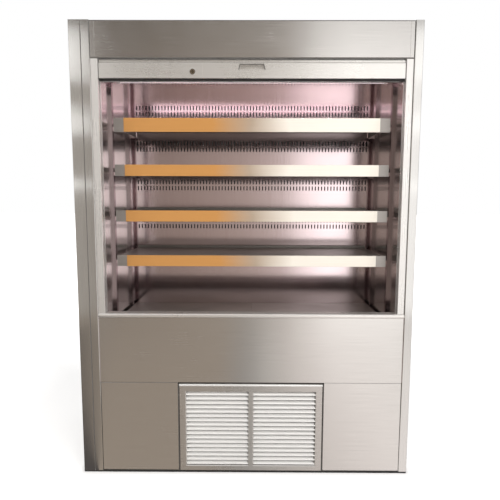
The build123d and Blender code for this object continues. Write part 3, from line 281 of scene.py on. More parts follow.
def stripPaintedLightFinish(name, s):
    mat, tree, shader = startMaterial(name)
    drift = stretchedNoise(tree, (3, 3, 9), detail=2)
    # a gradient along x from gold to cream: painted light across the strip
    shift = addNode(tree, "Math", {1: s["drift"]}, operation="MULTIPLY_ADD")
    tree.links.new(drift, shift.inputs[0])
    tree.links.new(splitPlace(tree).outputs["X"], shift.inputs[2])
    ramp = addNode(tree, "ValToRGB")
    tree.links.new(spread(tree, shift.outputs[0], 0, 1, s["start"], s["end"]), ramp.inputs["Fac"])
    ramp.color_ramp.elements[0].color = (*s["gold"], 1)
    ramp.color_ramp.elements[1].color = (*s["cream"], 1)
    middle = ramp.color_ramp.elements.new(s["middleAt"])
    middle.color = (*s["middle"], 1)
    streaks = stretchedNoise(tree, (4, 300, 500), detail=3)
    blend = addNode(tree, "Mix", {0: s["streaks"]}, data_type="RGBA", blend_type="MULTIPLY")
    tree.links.new(ramp.outputs["Color"], blend.inputs[6])
    tree.links.new(mixTones(tree, streaks, (0.72, 0.7, 0.68), (1, 1, 1)), blend.inputs[7])
    tree.links.new(blend.outputs[2], shader.inputs["Base Color"])
    tree.links.new(spread(tree, streaks, 0.3, 0.45), shader.inputs["Roughness"])
    shader.inputs["Metallic"].default_value = 0.2
    addBump(tree, shader, [(streaks, 0.1, 0.0004)])
    return mat


def glowing(name, tone, strength):
    mat, tree, shader = startMaterial(name)
    haze = stretchedNoise(tree, (30, 60, 60), detail=2)
    shader.inputs["Base Color"].default_value = (0.9, 0.88, 0.88, 1)
    brighter = tuple(min(1, 1.05 * t) for t in tone)
    tree.links.new(mixTones(tree, haze, tone, brighter), shader.inputs["Emission Color"])
    shader.inputs["Emission Strength"].default_value = strength
    shader.inputs["Roughness"].default_value = 0.4
    return mat


# tone, dark tone, grain, then roughness, anisotropy, depth of the waves and share of metal
brushedSheets = {
    "steelAcross": ((0.76, 0.74, 0.72), (0.7, 0.68, 0.66), "x"),
    "steelUpright": ((0.76, 0.75, 0.735), (0.69, 0.68, 0.665), "z", (0.15, 0.2)),
    "steelFrame": ((0.62, 0.595, 0.57), (0.56, 0.535, 0.51), "x", (0.26, 0.32), 0.6, 0.001, 0.85),
    "steelSill": ((0.84, 0.81, 0.78), (0.78, 0.75, 0.72), "x", (0.28, 0.34), 0.5, 0.001, 0.75),
    # interior steel: a plain steel tone, with painted pink lamp light in its colour
    "steelMirrorPinkLight": ((0.84, 0.71, 0.735), (0.8, 0.66, 0.685), "z", (0.1, 0.18), 0.3, 0.001),
    "steelShelf": ((0.4, 0.37, 0.35), (0.34, 0.315, 0.295), "x", (0.3, 0.42), 0.4, 0.0012, 0.6),
    "steelLouvre": ((0.93, 0.92, 0.9), (0.9, 0.89, 0.87), "x", (0.4, 0.5), 0.0, 0.001, 0.2),
    "guideMetal": ((0.81, 0.79, 0.77), (0.76, 0.74, 0.72), "z", (0.26, 0.32), 0.5, 0.001, 0.72),
    "railMetal": ((0.83, 0.81, 0.78), (0.79, 0.77, 0.74), "x", (0.26, 0.32), 0.6, 0.001, 0.75),
    # paler and less metallic than the frame it belongs to: a painted highlight on the grille's top
    # edge
    "lipPaintedHighlight": ((0.93, 0.92, 0.9), (0.88, 0.87, 0.85), "x", (0.3, 0.38), 0.0, 0.0005, 0.35),
    "slatMetal": ((0.8, 0.8, 0.8), (0.74, 0.74, 0.74), "x", (0.3, 0.4), 0.3, 0.001, 0.7),
    "finMetal": ((0.75, 0.76, 0.78), (0.64, 0.65, 0.67), "y", (0.3, 0.45), 0.0),
    "chrome": ((0.85, 0.85, 0.86), (0.8, 0.8, 0.81), "y", (0.08, 0.16), 0.0, 0.0005),
    "copper": ((0.82, 0.42, 0.26), (0.6, 0.28, 0.17), "z", (0.25, 0.4), 0.0),
    "lockMetal": ((0.34, 0.28, 0.2), (0.24, 0.19, 0.13), "y", (0.22, 0.32), 0.0, 0.0005),
    "pilasterMetal": ((0.42, 0.34, 0.35), (0.34, 0.27, 0.28), "z", (0.16, 0.24), 0.3, 0.001),
}

# tone, dark tone, then roughness, fineness of the grain and clear coat
mouldings = {
    "framePaint": ((0.03, 0.03, 0.032), (0.018, 0.018, 0.02), (0.35, 0.5)),
    "compressorPaint": ((0.022, 0.022, 0.024), (0.014, 0.014, 0.015), (0.28, 0.42), 500, 0.3),
    "blackPlastic": ((0.04, 0.04, 0.042), (0.025, 0.025, 0.027)),
    "footPlastic": ((0.05, 0.05, 0.052), (0.03, 0.03, 0.032), (0.5, 0.65)),
    "combPlastic": ((0.78, 0.77, 0.76), (0.7, 0.69, 0.68)),
    "bladePlastic": ((0.08, 0.085, 0.09), (0.05, 0.052, 0.055)),
    "seamGrey": ((0.13, 0.12, 0.11), (0.09, 0.083, 0.076), (0.5, 0.65)),
    "shadeGrey": ((0.36, 0.34, 0.32), (0.3, 0.28, 0.26), (0.4, 0.5)),
    "whitePlastic": ((0.82, 0.81, 0.8), (0.76, 0.75, 0.74), (0.3, 0.4)),
    "sealRubber": ((0.022, 0.02, 0.02), (0.012, 0.012, 0.012), (0.6, 0.75), 700),
    "switchRed": ((0.55, 0.02, 0.015), (0.42, 0.015, 0.012), (0.25, 0.35), 900, 0.4),
}

# ticket strips: gold on the left, cream on the right; this gradient along x is painted light, dim and
# warm on the left and bright on the right, while the streaks are the strip's own grain
stripPaintedLightTones = {
    "gold": (0.6, 0.29, 0.085),
    "middle": (0.46, 0.36, 0.27),
    "middleAt": 0.5,
    "cream": (0.9, 0.84, 0.75),
    "start": -0.08,
    "end": 0.26,
    "drift": 0.12,
    "streaks": 0.2,
}

finish = {name: brushedMetal(name, *recipe) for name, recipe in brushedSheets.items()}
finish.update({name: moulded(name, *recipe) for name, recipe in mouldings.items()})
finish["galvanised"] = galvanisedSheet("galvanised", (0.62, 0.64, 0.66), (0.5, 0.52, 0.54))
finish["lampGlow"] = glowing("lampGlow", (1.0, 0.86, 0.9), 1.1)
finish["stripTicketPaintedLight"] = stripPaintedLightFinish("stripTicketPaintedLight", stripPaintedLightTones)
print("finishes mixed,", len(finish), "materials")

nodeFinish = {
    "steelUpright": ["side_wall_left", "side_wall_right", "end_panel"],
    "steelAcross": ["fascia", "front_panel", "kick_panel_left", "kick_panel_right"],
    "steelFrame": ["grille_frame"],
    "steelSill": ["front_sill"],
    "pilasterMetal": ["pilasters"],
    "steelMirrorPinkLight": ["shelf_clips", "back_liner", "ceiling_liner", "insulated_tub"],
    "steelShelf": [f"shelf_{n}_tray" for n in shelves]
    + ["deck_pan_left", "deck_pan_right", "return_grille"],
    "stripTicketPaintedLight": [f"shelf_{n}_ticket_strip" for n in shelves],
    "steelLouvre": ["grille_louvres"],
    "guideMetal": ["guide_left", "guide_right"],
    "railMetal": ["shutter_rail", "pull_cup"],
    "slatMetal": ["shutter_curtain", "shutter_barrel"],
    "finMetal": ["evaporator_coil", "condenser_coil"],
    "lockMetal": ["lock_cylinder"],
    "galvanised": ["barrel_brackets", "control_box", "fan_plate", "fan_shroud"]
    + ["lock_bolt_left", "lock_bolt_right"]
    + ["rear_cover", "rear_wall", "roof_panel", "shutter_box"],
    "copper": ["refrigerant_pipes"],
    "framePaint": ["base_frame"],
    "compressorPaint": ["compressor"],
    "footPlastic": ["levelling_feet"],
    "blackPlastic": ["cable_gland", "drip_tray", "rail_shoes", "thermostat_knob"],
    "combPlastic": ["air_honeycomb"],
    "bladePlastic": ["condenser_fan", "evaporator_fan_left", "evaporator_fan_right"],
    "sealRubber": ["rail_seal"],
    "switchRed": ["power_switch"],
    "lampGlow": ["canopy_lamp"],
}
for key, names in nodeFinish.items():
    for name in names:
        nodes[name].data.materials.clear()
        nodes[name].data.materials.append(finish[key])
print("finishes laid on the packed nodes")


def slotLines(low, high, margin, pitch, width):
    # lines across a sheet, two for each slot, spread evenly about its middle
    count = int((high - low - 2 * margin) / pitch)
    first = (low + high - (count - 1) * pitch) / 2
    lines = [low]
    for n in range(count):
        middle = first + n * pitch
        lines += [middle - width / 2, middle + width / 2]
    return count, lines + [high]


def addGrid(bm, xLines, zLines, y, holes):
    # upright cells between the lines, with those in holes left out
    grid = [[bm.verts.new((x, y, z)) for z in zLines] for x in xLines]
    for i in range(len(xLines) - 1):
        for j in range(len(zLines) - 1):
            if (i, j) not in holes:
                bm.faces.new((grid[i][j], grid[i + 1][j], grid[i + 1][j + 1], grid[i][j + 1]))


def cutSheet(name, xLines, zLines, holes, front, thickness, mat):
    # a sheet that faces the front, cut through at the holes
    bm = bmesh.new()
    addGrid(bm, xLines, zLines, front, holes)
    loose = [v for v in bm.verts if not v.link_faces]
    bmesh.ops.delete(bm, geom=loose, context="VERTS")
    shell = bmesh.ops.extrude_face_region(bm, geom=list(bm.faces))
    for v in shell["geom"]:
        if isinstance(v, bmesh.types.BMVert):
            v.co.y += thickness
    return fromBmesh(name, bm, mat)


# slotted back panel: two rows of narrow slots in each bay
backPanel = {
    "pitch": 0.0165,
    "slotWidth": 0.006,
    "slotHeight": 0.022,
    "margin": 0.022,
    "thickness": 0.0015,
    "rowDrops": (0.097, 0.065),  # from the top of each bay to the middle of a row
}


def makeBackPanel(s):
    low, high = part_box("back_liner")
    front = high.y - s["thickness"]
    half = s["slotHeight"] / 2
    tops = [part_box(f"shelf_{n}_ticket_strip")[1].z for n in reversed(shelves)] + [high.z]
    rows = [top - drop for top in tops for drop in s["rowDrops"]]
    zLines = [low.z] + [z for middle in rows for z in (middle - half, middle + half)] + [high.z]
    count, xLines = slotLines(low.x, high.x, s["margin"], s["pitch"], s["slotWidth"])
    holes = {(1 + 2 * n, 1 + 2 * m) for n in range(count) for m in range(len(rows))}
    # interior steel, with painted pink lamp light in its colour
    steel = finish["steelMirrorPinkLight"]
    sheet = cutSheet("backPanelSlotted", xLines, zLines, holes, front, s["thickness"], steel)
    settle(sheet, "cabinet", "interior_steel", "back_liner")
    bm = bmesh.new()
    addBox(bm, low, (high.x, front, low.z + s["thickness"]))
    settle(fromBmesh("backPanelFoot", bm, steel), "cabinet", "interior_steel")


makeBackPanel(backPanel)
print("back panel slotted")

# return-air grille: narrow slots across its top, on a front and a rear leg
intake = {
    "pitch": 0.0103,
    "slotWidth": 0.0042,
    "sideMargin": 0.012,
    "edgeMargin": 0.008,
    "thickness": 0.0015,
    "slack": 0.0001,  # reach round a leg when its packed points are looked for
}


def makeIntake(s):
    low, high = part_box("return_grille")
    packed = nodes["return_grille"]
    spots = [packed.matrix_world @ v.co for v in packed.data.vertices]
    count, xLines = slotLines(low.x, high.x, s["sideMargin"], s["pitch"], s["slotWidth"])
    yLines = [low.y, low.y + s["edgeMargin"], high.y - s["edgeMargin"], high.y]
    holes = {(1 + 2 * n, 1) for n in range(count)}
    steel = finish["steelShelf"]
    top = cutSheet("intakeSlotted", xLines, yLines, holes, -high.z, s["thickness"], steel)
    top.data.transform(Matrix.Rotation(-math.pi / 2, 4, "X"))  # from upright to lying flat
    settle(top, "return_grille", "brushed_steel", "return_grille")
    bm = bmesh.new()
    for front, back in ((low.y, low.y + s["thickness"]), (high.y - s["thickness"], high.y)):
        foot = min(spot.z for spot in spots if front - s["slack"] < spot.y < back + s["slack"])
        addBox(bm, (low.x, front, foot), (high.x, back, high.z - s["thickness"]))
    settle(fromBmesh("intakeLegs", bm, steel), "return_grille", "brushed_steel")


makeIntake(intake)
print("return-air grille slotted")

# shutter curtain: hinged slats, spaced so that they come out even when the shutter is drawn
curtain = {
    "slats": 28,
    "waist": 0.0022,
    "hinge": 0.0012,
    "webInset": 1.4,  # times the waist
    "halvings": 60,  # of the span, in the search for a height at rest
}


def makeCurtain(s):
    low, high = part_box("shutter_curtain")
    travel = -[j for j in frame["joints"] if j["name"] == "shutter_slide"][0]["range_m"][0]
    span = high.z - low.z

    def drawn(z):
        t = (high.z - z) / span
        return z - t * t * (3 - 2 * t) * travel

    def restOf(target):
        a, b = low.z, high.z
        for _ in range(s["halvings"]):
            middle = (a + b) / 2
            if drawn(middle) < target:
                a = middle
            else:
                b = middle
        return (a + b) / 2

    bottom = low.z - travel
    pitch = (high.z - bottom) / s["slats"]
    waist, slat, inset = s["waist"], pitch - s["hinge"], s["webInset"] * s["waist"]
    near, far = low.y + inset, high.y - inset
    outline = [
        (low.y + waist, 0.0),
        (low.y, waist),
        (low.y, pitch / 2),
        (low.y, slat - waist),
        (low.y + waist, slat),
        (high.y - waist, slat),
        (high.y, slat - waist),
        (high.y, pitch / 2),
        (high.y, waist),
        (high.y - waist, 0.0),
    ]
    bm = bmesh.new()
    for n in range(s["slats"]):
        z0 = bottom + n * pitch
        forms = [[(y, restOf(z0 + z)) for y, z in outline]]
        if n < s["slats"] - 1:  # hinge web to the next slat
            z1, z2 = restOf(z0 + slat), restOf(z0 + pitch)
            forms.append([(near, z1), (near, z2), (far, z2), (far, z1)])
        for form in forms:
            addPrism(bm, *[[bm.verts.new((x, y, z)) for y, z in form] for x in (low.x, high.x)])
    piece = fromBmesh("shutterSlats", bm, finish["slatMetal"])
    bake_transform(piece)
    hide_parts("shutter_curtain")


makeCurtain(curtain)
print("shutter slats hung")

# dark lines in the seams of the front, as low and high corners: the post and fascia-top lines are
# dark joints, while the canopy, guide and plinth lines are painted shade, dark strips where there is
# only a shadow gap
seams = {
    "postGasket": ((-0.677, -0.34995, 0.009), (-0.673, -0.343, 1.949)),
    # painted shade in the gap under the fascia
    "canopyPaintedShade": ((-0.6392, -0.3459, 1.7988), (0.6892, -0.3435, 1.804)),
    # painted shade on the rebate's side face beside the right guide
    "guidePaintedShade": ((0.6876, -0.3457, 0.7305), (0.69, -0.344, 1.7985)),
    # painted shade in the gap between the panels and the floor
    "plinthPaintedShade": ((-0.7245, -0.3485, 0.0004), (0.7245, -0.3445, 0.0076)),
    "fasciaTopLine": ((-0.6392, -0.3454, 1.9462), (0.6892, -0.3445, 1.9495)),
}
seamEase = 0.0002
fasciaEndLines = {
    "spots": (-0.622, 0.672),
    "width": 0.0012,
    "depth": (-0.0002, 0.001),  # from the fascia's face
    "z": (1.807, 1.945),
}


def makeSeams(lines, ends):
    for name, (low, high) in lines.items():
        bm = bmesh.new()
        addBox(bm, low, high, seamEase)
        # the plinth's painted shade is black, the other lines are grey
        tone = "sealRubber" if name == "plinthPaintedShade" else "seamGrey"
        settle(fromBmesh(name, bm, finish[tone]), "cabinet", "seal_rubber")
    near, far = [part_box("fascia")[0].y + d for d in ends["depth"]]
    bottom, top = ends["z"]
    bm = bmesh.new()
    for x in ends["spots"]:
        addBox(bm, (x, near, bottom), (x + ends["width"], far, top))
    settle(fromBmesh("fasciaEndLines", bm, finish["shadeGrey"]), "cabinet", "brushed_steel")


makeSeams(seams, fasciaEndLines)

# trims of the shutter rail: painted shade under the step, lower lip, lock plate, and painted shade as
# a dark rim along the top and slanted ends of the pull's recess
railTrim = {
    "shade": (1.7835, 1.7868),
    "shadeDepth": (0.0045, 0.006),
    "lip": (1.7222, 1.7302),
    "lipProud": 0.0012,
    "lipEase": 0.0005,
    "lockPlate": ((-0.262, 1.7325), (-0.178, 1.7825)),
    "plateProud": 0.0006,
    "plateEase": 0.0003,
    "pullHalf": (0.0562, 0.0502),
    "pullZ": (1.7565, 1.7797),
    # painted shade of the pull's recess: its width, and how far it stands proud
    "pullShadeWidth": 0.004,
    "pullShadeProud": (0.0016, 0.0015),  # at the sides, at the top
    "sunk": 0.001,  # how far lip, plate and rim reach into the rail
}


def makeRailTrim(t):
    low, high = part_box("shutter_rail")
    back = low.y + t["sunk"]
    (z0, z1), (near, far) = t["shade"], t["shadeDepth"]
    bm = bmesh.new()
    addBox(bm, (low.x, low.y + near, z0), (high.x, low.y + far, z1))
    settle(fromBmesh("railStepShade", bm, finish["shadeGrey"]), "shutter", "rail_aluminium")
    z0, z1 = t["lip"]
    bm = bmesh.new()
    addBox(bm, (low.x, low.y - t["lipProud"], z0), (high.x, back, z1), t["lipEase"])
    settle(fromBmesh("railLowerLip", bm, finish["railMetal"]), "shutter", "rail_aluminium")
    (x0, z0), (x1, z1) = t["lockPlate"]
    bm = bmesh.new()
    addBox(bm, (x0, low.y - t["plateProud"], z0), (x1, back, z1), t["plateEase"])
    settle(fromBmesh("lockPlate", bm, finish["railMetal"]), "shutter", "rail_aluminium")
    (wide, narrow), (bottom, top), w = t["pullHalf"], t["pullZ"], t["pullShadeWidth"]
    sideProud, topProud = t["pullShadeProud"]
    # painted shade: dark strips along the slanted ends and the top of the pull's recess
    bm = bmesh.new()
    for side in (-1, 1):
        corners = [(wide, bottom), (wide - w, bottom), (narrow - w, top), (narrow, top)]
        addPlate(bm, [(caseMiddle + side * x, z) for x, z in corners], low.y - sideProud, back)
    corners = [(-narrow, top - w), (narrow, top - w), (narrow, top), (-narrow, top)]
    addPlate(bm, [(caseMiddle + x, z) for x, z in corners], low.y - topProud, back)
    settle(fromBmesh("pullPaintedShade", bm, finish["seamGrey"]), "shutter", "pull_aluminium")


makeRailTrim(railTrim)

# lock face: bright ring, and painted shade in the key slot as a dark plate over the keyway
lockFace = {
    "spot": (-0.22, 1.748),
    "ring": [  # radius, height over the face
        (0.0122, -0.0004),
        (0.0122, 0.0002),
        (0.011712, 0.0007),
        (0.0098, 0.0007),
        (0.0098, -0.0002),
    ],
    "slotHalf": (0.0013, 0.0052),
    "slotDepth": (-0.0002, 0.0012),
    "slotEase": 0.0003,
}


def makeLockFace(k):
    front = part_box("lock_cylinder")[0].y
    x, z = k["spot"]
    bm = bmesh.new()
    addTurned(bm, (x, front, z), (0, -1, 0), k["ring"], sides=40)
    settle(fromBmesh("lockRing", bm, finish["chrome"], 30), "lock_cylinder", "chrome")
    # painted shade: a dark plate in the keyway, for the darkness of the hole
    (wide, tall), (near, far) = k["slotHalf"], k["slotDepth"]
    bm = bmesh.new()
    addBox(bm, (x - wide, front + near, z - tall), (x + wide, front + far, z + tall), k["slotEase"])
    settle(fromBmesh("keySlotPaintedShade", bm, finish["sealRubber"]), "lock_cylinder", "chrome")


makeLockFace(lockFace)
print("front lines and rail trims set")

# grille frame with a sloped rim, and painted shade round its edge: dark strips in the gap between the
# frame and the panels
grilleRim = {
    "edgeShade": 0.0026,
    "edgeShadeSunk": 0.0008,
    "topGap": 0.0007,
    "slopeTop": 0.0105,
    "slopeSide": 0.0035,
    "slopeBottom": 0.003,
    "rimDepth": 0.009,
    "lipRadius": 0.0056,
    "lipEase": 0.002,
    "lipDrop": 0.001,
    "fieldX": ((-0.262, 0.0135), (0.0365, 0.312)),
    "fieldZ": (0.034, 0.377),
    "fieldSlope": 0.003,
    "fieldSlopeDepth": 0.004,
    # painted shade at the right end of each field, where the frame's inner edge is in shadow
    "fieldShade": (0.0018, 0.0036),  # dark edge at the right end of each field
    "shadeSunk": 0.0035,
    "shadeGaps": (0.0002, 0.0005),  # to the field's end, to the frame's inside
    "frameDepth": 0.022,
    "sheet": 0.002,
}


def makeGrilleFrame(g):
    low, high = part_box("grille_frame")
    (f0, f1), slope = g["fieldZ"], g["fieldSlope"]
    bm = bmesh.new()

    def rectangle(x0, x1, z0, z1, y):
        return [bm.verts.new((x, y, z)) for x, z in ((x0, z0), (x1, z0), (x1, z1), (x0, z1))]

    def skirt(a, yA, b, yB):
        joinRings(bm, rectangle(*a, yA), rectangle(*b, yB))

    def holedFace(y, x0, x1, z0, z1, grow):
        (a0, a1), (b0, b1) = g["fieldX"]
        xLines = [x0, a0 - grow, a1 + grow, b0 - grow, b1 + grow, x1]
        addGrid(bm, xLines, [z0, f0 - grow, f1 + grow, z1], y, holes=((1, 1), (3, 1)))

    x0, x1, z0, z1 = low.x + g["edgeShade"], high.x - g["edgeShade"], low.z, high.z - g["topGap"]
    t = g["sheet"]
    rim, inner = (x0, x1, z0, z1), (x0 + t, x1 - t, z0 + t, z1 - t)
    face = (x0 + g["slopeSide"], x1 - g["slopeSide"], z0 + g["slopeBottom"], z1 - g["slopeTop"])
    front, edge, back = low.y, low.y + g["rimDepth"], high.y
    throat, inside = low.y + g["fieldSlopeDepth"], low.y + g["frameDepth"]
    holedFace(front, *face, slope)
    skirt(face, front, rim, edge)
    skirt(rim, edge, rim, back)
    skirt(rim, back, inner, back)
    skirt(inner, back, inner, inside)
    holedFace(inside, *inner, 0)
    for a0, a1 in g["fieldX"]:
        field = (a0, a1, f0, f1)
        skirt((a0 - slope, a1 + slope, f0 - slope, f1 + slope), front, field, throat)
        skirt(field, throat, field, inside)
    bmesh.ops.remove_doubles(bm, verts=bm.verts, dist=0.00001)
    sloped = fromBmesh("grilleFrameSloped", bm, finish["steelFrame"])
    settle(sloped, "front_grille", "brushed_steel", "grille_frame")
    # rounded top lip of the frame: the shape is real, its paler metal is a painted highlight
    r, ease = g["lipRadius"], g["lipEase"]
    length = x1 - x0 - 2 * ease
    profile = [(0, 0), (0.7 * r, 0), (r, ease), (r, length - ease), (0.7 * r, length), (0, length)]
    bm = bmesh.new()
    addTurned(bm, (x0 + ease, front + r, z1 - r - g["lipDrop"]), (1, 0, 0), profile, sides=24)
    settle(fromBmesh("grilleTopLip", bm, finish["lipPaintedHighlight"], 40), "front_grille", "brushed_steel")
    # painted shade: dark strips in the gap round the frame, and at the right end of each field
    strips = [
        (low.x, low.z, x0, high.z),
        (x1, low.z, high.x, high.z),
        (low.x, z1, high.x, high.z),
    ]
    bm = bmesh.new()
    for left, bottom, right, top in strips:
        addBox(bm, (left, front + g["edgeShadeSunk"], bottom), (right, back, top))
    endGap, insideGap = g["shadeGaps"]
    for (a0, a1), wide in zip(g["fieldX"], g["fieldShade"]):
        addBox(bm, (a1 - wide, front + g["shadeSunk"], f0), (a1 - endGap, inside - insideGap, f1))
    settle(fromBmesh("grillePaintedShade", bm, finish["seamGrey"]), "front_grille", "seal_rubber")


makeGrilleFrame(grilleRim)
print("grille frame folded")


def addFins(bm, count, thickness, low, high):
    for n in range(count):
        x = low[0] + (high[0] - low[0]) * (n + 0.5) / count
        addBox(bm, (x - thickness / 2, *low[1:]), (x + thickness / 2, *high[1:]))


# condenser coil: thin fins on rows of tubes, between end plates
condenser = {
    "fins": 96,
    "finThickness": 0.0006,
    "finInset": (0.001, 0.002),  # in depth, in height
    "plate": 0.003,
    "plateEase": 0.0006,
    "tubes": (2, 9),  # deep, tall
    "tubeRadius": 0.0048,
    "tubeInset": 0.0004,
}


def makeCondenser(c):
    low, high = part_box("condenser_coil")
    plate, ease, (dy, dz) = c["plate"], c["plateEase"], c["finInset"]
    first = (low.x + plate, low.y + dy, low.z + dz)
    last = (high.x - plate, high.y - dy, high.z - dz)
    bm = bmesh.new()
    addFins(bm, c["fins"], c["finThickness"], first, last)
    fins = fromBmesh("condenserFins", bm, finish["finMetal"])
    settle(fins, "cabinet", "fin_aluminium", "condenser_coil")
    bm = bmesh.new()
    for x in (low.x, high.x - plate):
        addBox(bm, (x, low.y, low.z), (x + plate, high.y, high.z), ease)
    for z in (low.z, high.z - plate):
        addBox(bm, (low.x, low.y, z), (high.x, high.y, z + plate), ease)
    settle(fromBmesh("condenserEndPlates", bm, finish["galvanised"]), "cabinet", "galvanised")
    (deep, tall), r = c["tubes"], c["tubeRadius"]
    length = high.x - low.x - 2 * c["tubeInset"]
    profile = [(0, 0), (r, 0), (r, length), (0, length)]
    bm = bmesh.new()
    for i in range(deep):
        for j in range(tall):
            y = low.y + (high.y - low.y) * (i + 0.5) / deep
            z = low.z + (high.z - low.z) * (j + 0.5) / tall
            addTurned(bm, (low.x + c["tubeInset"], y, z), (1, 0, 0), profile, sides=10)
    settle(fromBmesh("condenserTubes", bm, finish["copper"], 40), "cabinet", "copper")


# evaporator coil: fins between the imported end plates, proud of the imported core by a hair
evaporator = {
    "fins": 190,
    "finThickness": 0.0007,
    "finSpan": (-0.5, 0.535),
    "finInset": 0.0005,
    "finFoot": 0.004,
}


def makeEvaporatorFins(c):
    low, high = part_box("evaporator_coil")
    (x0, x1), inset = c["finSpan"], c["finInset"]
    first = (x0, low.y + inset, low.z + c["finFoot"])
    bm = bmesh.new()
    addFins(bm, c["fins"], c["finThickness"], first, (x1, high.y - inset, high.z - inset))
    settle(fromBmesh("evaporatorFins", bm, finish["finMetal"]), "cabinet", "fin_aluminium")


makeCondenser(condenser)
makeEvaporatorFins(evaporator)

# compressor: pressed pot with a weld band and domed lid, stubs, terminal cover, plate on rubbers
compressor = {
    "middle": (0.155, 0.06),
    "radius": 0.092,
    "profile": [  # shares of the radius and of the height
        (0.0, 0.0), (0.7, 0.0), (0.86, 0.02), (0.96, 0.07), (0.985, 0.14),
        (0.985, 0.5), (1.0, 0.505), (1.0, 0.55), (0.975, 0.555), (0.97, 0.76),
        (0.93, 0.85), (0.83, 0.93), (0.66, 0.98), (0.4, 1.0), (0.0, 1.0),
    ],
    "crownGap": 0.01,  # from the lid to the top stub's end
    "foot": 0.014,
    "plate": 0.003,
    "plateEase": 0.0012,
    "stub": 0.0085,
    "stubLengths": (0.02, 0.03),  # at the top, at the side
    "stubEase": 0.002,
    "stubRise": 0.35,
    "coverSunk": 0.012,
    "coverHalf": 0.03,
    "coverZ": (0.07, 0.15),
    "coverEase": 0.004,
    "mountInset": 0.014,
    "mountRadius": 0.011,
    "mountProfile": [(0, 0), (1, 0), (1, 0.3), (0.75, 0.45), (1, 0.6), (1, 1), (0, 1)],
}


def makeCompressor(p):
    low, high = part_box("compressor")
    (x, y), r = p["middle"], p["radius"]
    base = low.z + p["foot"]
    height = high.z - p["crownGap"] - base
    bm = bmesh.new()
    profile = [(share * r, rise * height) for share, rise in p["profile"]]
    addTurned(bm, (x, y, base), (0, 0, 1), profile, sides=64)
    above, beside = p["stubLengths"]
    stubs = [
        ((x, y, high.z - above), (0, 0, 1), above),
        ((low.x + beside, y, base + p["stubRise"] * height), (-1, 0, 0), beside),
    ]
    for spot, axis, length in stubs:
        stub = [(1, 0), (1, length - p["stubEase"]), (0.8, length), (0, length)]
        addTurned(bm, spot, axis, [(share * p["stub"], along) for share, along in stub], sides=24)
    half, (z0, z1) = p["coverHalf"], p["coverZ"]
    coverLow, coverHigh = (x + r - p["coverSunk"], y - half, base + z0), (high.x, y + half, base + z1)
    addBox(bm, coverLow, coverHigh, p["coverEase"])
    body = fromBmesh("compressorPot", bm, finish["compressorPaint"], 35)
    settle(body, "cabinet", "compressor_black", "compressor")
    bm = bmesh.new()
    addBox(bm, (x - r, y - r, base - p["plate"]), (x + r, y + r, base), p["plateEase"])
    plate = fromBmesh("compressorPlate", bm, finish["compressorPaint"])
    settle(plate, "cabinet", "compressor_black")
    reach, tall = r - p["mountInset"], p["foot"] - p["plate"]
    rubber = [(share * p["mountRadius"], rise * tall) for share, rise in p["mountProfile"]]
    bm = bmesh.new()
    for sx in (-1, 1):
        for sy in (-1, 1):
            addTurned(bm, (x + sx * reach, y + sy * reach, low.z), (0, 0, 1), rubber, sides=20)
    settle(fromBmesh("compressorRubbers", bm, finish["sealRubber"], 40), "cabinet", "seal_rubber")


makeCompressor(compressor)
print("coils and compressor dressed")

# screws in lines: round heads with a recess
screw = {
    "radius": 0.0045,
    "height": 0.0018,
    "profile": [(1, 0), (1, 0.4), (0.8, 0.9), (0.45, 1), (0.4, 0.3), (0, 0.3)],
    "pitch": 0.24,
}


def screwLine(bm, a, b, axis):
    a, b = Vector(a), Vector(b)
    profile = [(share * screw["radius"], rise * screw["height"]) for share, rise in screw["profile"]]
    count = max(1, round((b - a).length / screw["pitch"]))
    for n in range(count + 1):
        addTurned(bm, a.lerp(b, n / count), axis, profile, sides=12)


# rear wall and roof: raised fields on a sheet, with lines of screws between them
shells = {
    "rise": 0.002,
    "margin": 0.026,
    "fields": 3,
    "ease": 0.0019,
    "fieldSunk": 0.001,
    "screwInset": 0.012,
    "screwEnds": 0.03,
    "coverInset": 0.014,  # of the screws along the rear cover's edges
}


def makePressed(name, packed, out, s):
    # a sheet that faces back (out is 1) or up (out is 2), with its fields side by side
    low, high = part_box(packed)
    along, skin = 3 - out, high[out] - s["rise"]
    near, far = low[along], high[along]

    def spot(x, across, outward):
        made = [x, 0, 0]
        made[along], made[out] = across, outward
        return made

    width = (high.x - low.x) / s["fields"]
    bm = bmesh.new()
    addBox(bm, low, spot(high.x, far, skin))
    for n in range(s["fields"]):
        x0, x1 = low.x + n * width + s["margin"], low.x + (n + 1) * width - s["margin"]
        fieldLow = spot(x0, near + s["margin"], skin - s["fieldSunk"])
        addBox(bm, fieldLow, spot(x1, far - s["margin"], high[out]), s["ease"])
    settle(fromBmesh(f"{name}Pressed", bm, finish["galvanised"]), "cabinet", "galvanised", packed)
    bm = bmesh.new()
    for n in range(s["fields"] + 1):
        x = min(max(low.x + n * width, low.x + s["screwInset"]), high.x - s["screwInset"])
        first, last = spot(x, near + s["screwEnds"], skin), spot(x, far - s["screwEnds"], skin)
        screwLine(bm, first, last, spot(0, 0, 1))
    settle(fromBmesh(f"{name}Screws", bm, finish["chrome"], 30), "cabinet", "galvanised")


def makeCoverScrews(s):
    low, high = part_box("rear_cover")
    inset = s["coverInset"]
    bm = bmesh.new()
    for z in (low.z + inset, high.z - inset):
        screwLine(bm, (low.x + inset, high.y, z), (high.x - inset, high.y, z), (0, 1, 0))
    settle(fromBmesh("rearCoverScrews", bm, finish["chrome"], 30), "cabinet", "galvanised")


makePressed("rearWall", "rear_wall", 1, shells)
makePressed("roof", "roof_panel", 2, shells)
makeCoverScrews(shells)
print("rear and roof screwed")

# honeycomb: straight cells that calm the falling air
comb = {"cell": 0.008, "wall": 0.0007, "lift": 0.0002}  # lift of the walls that run along it


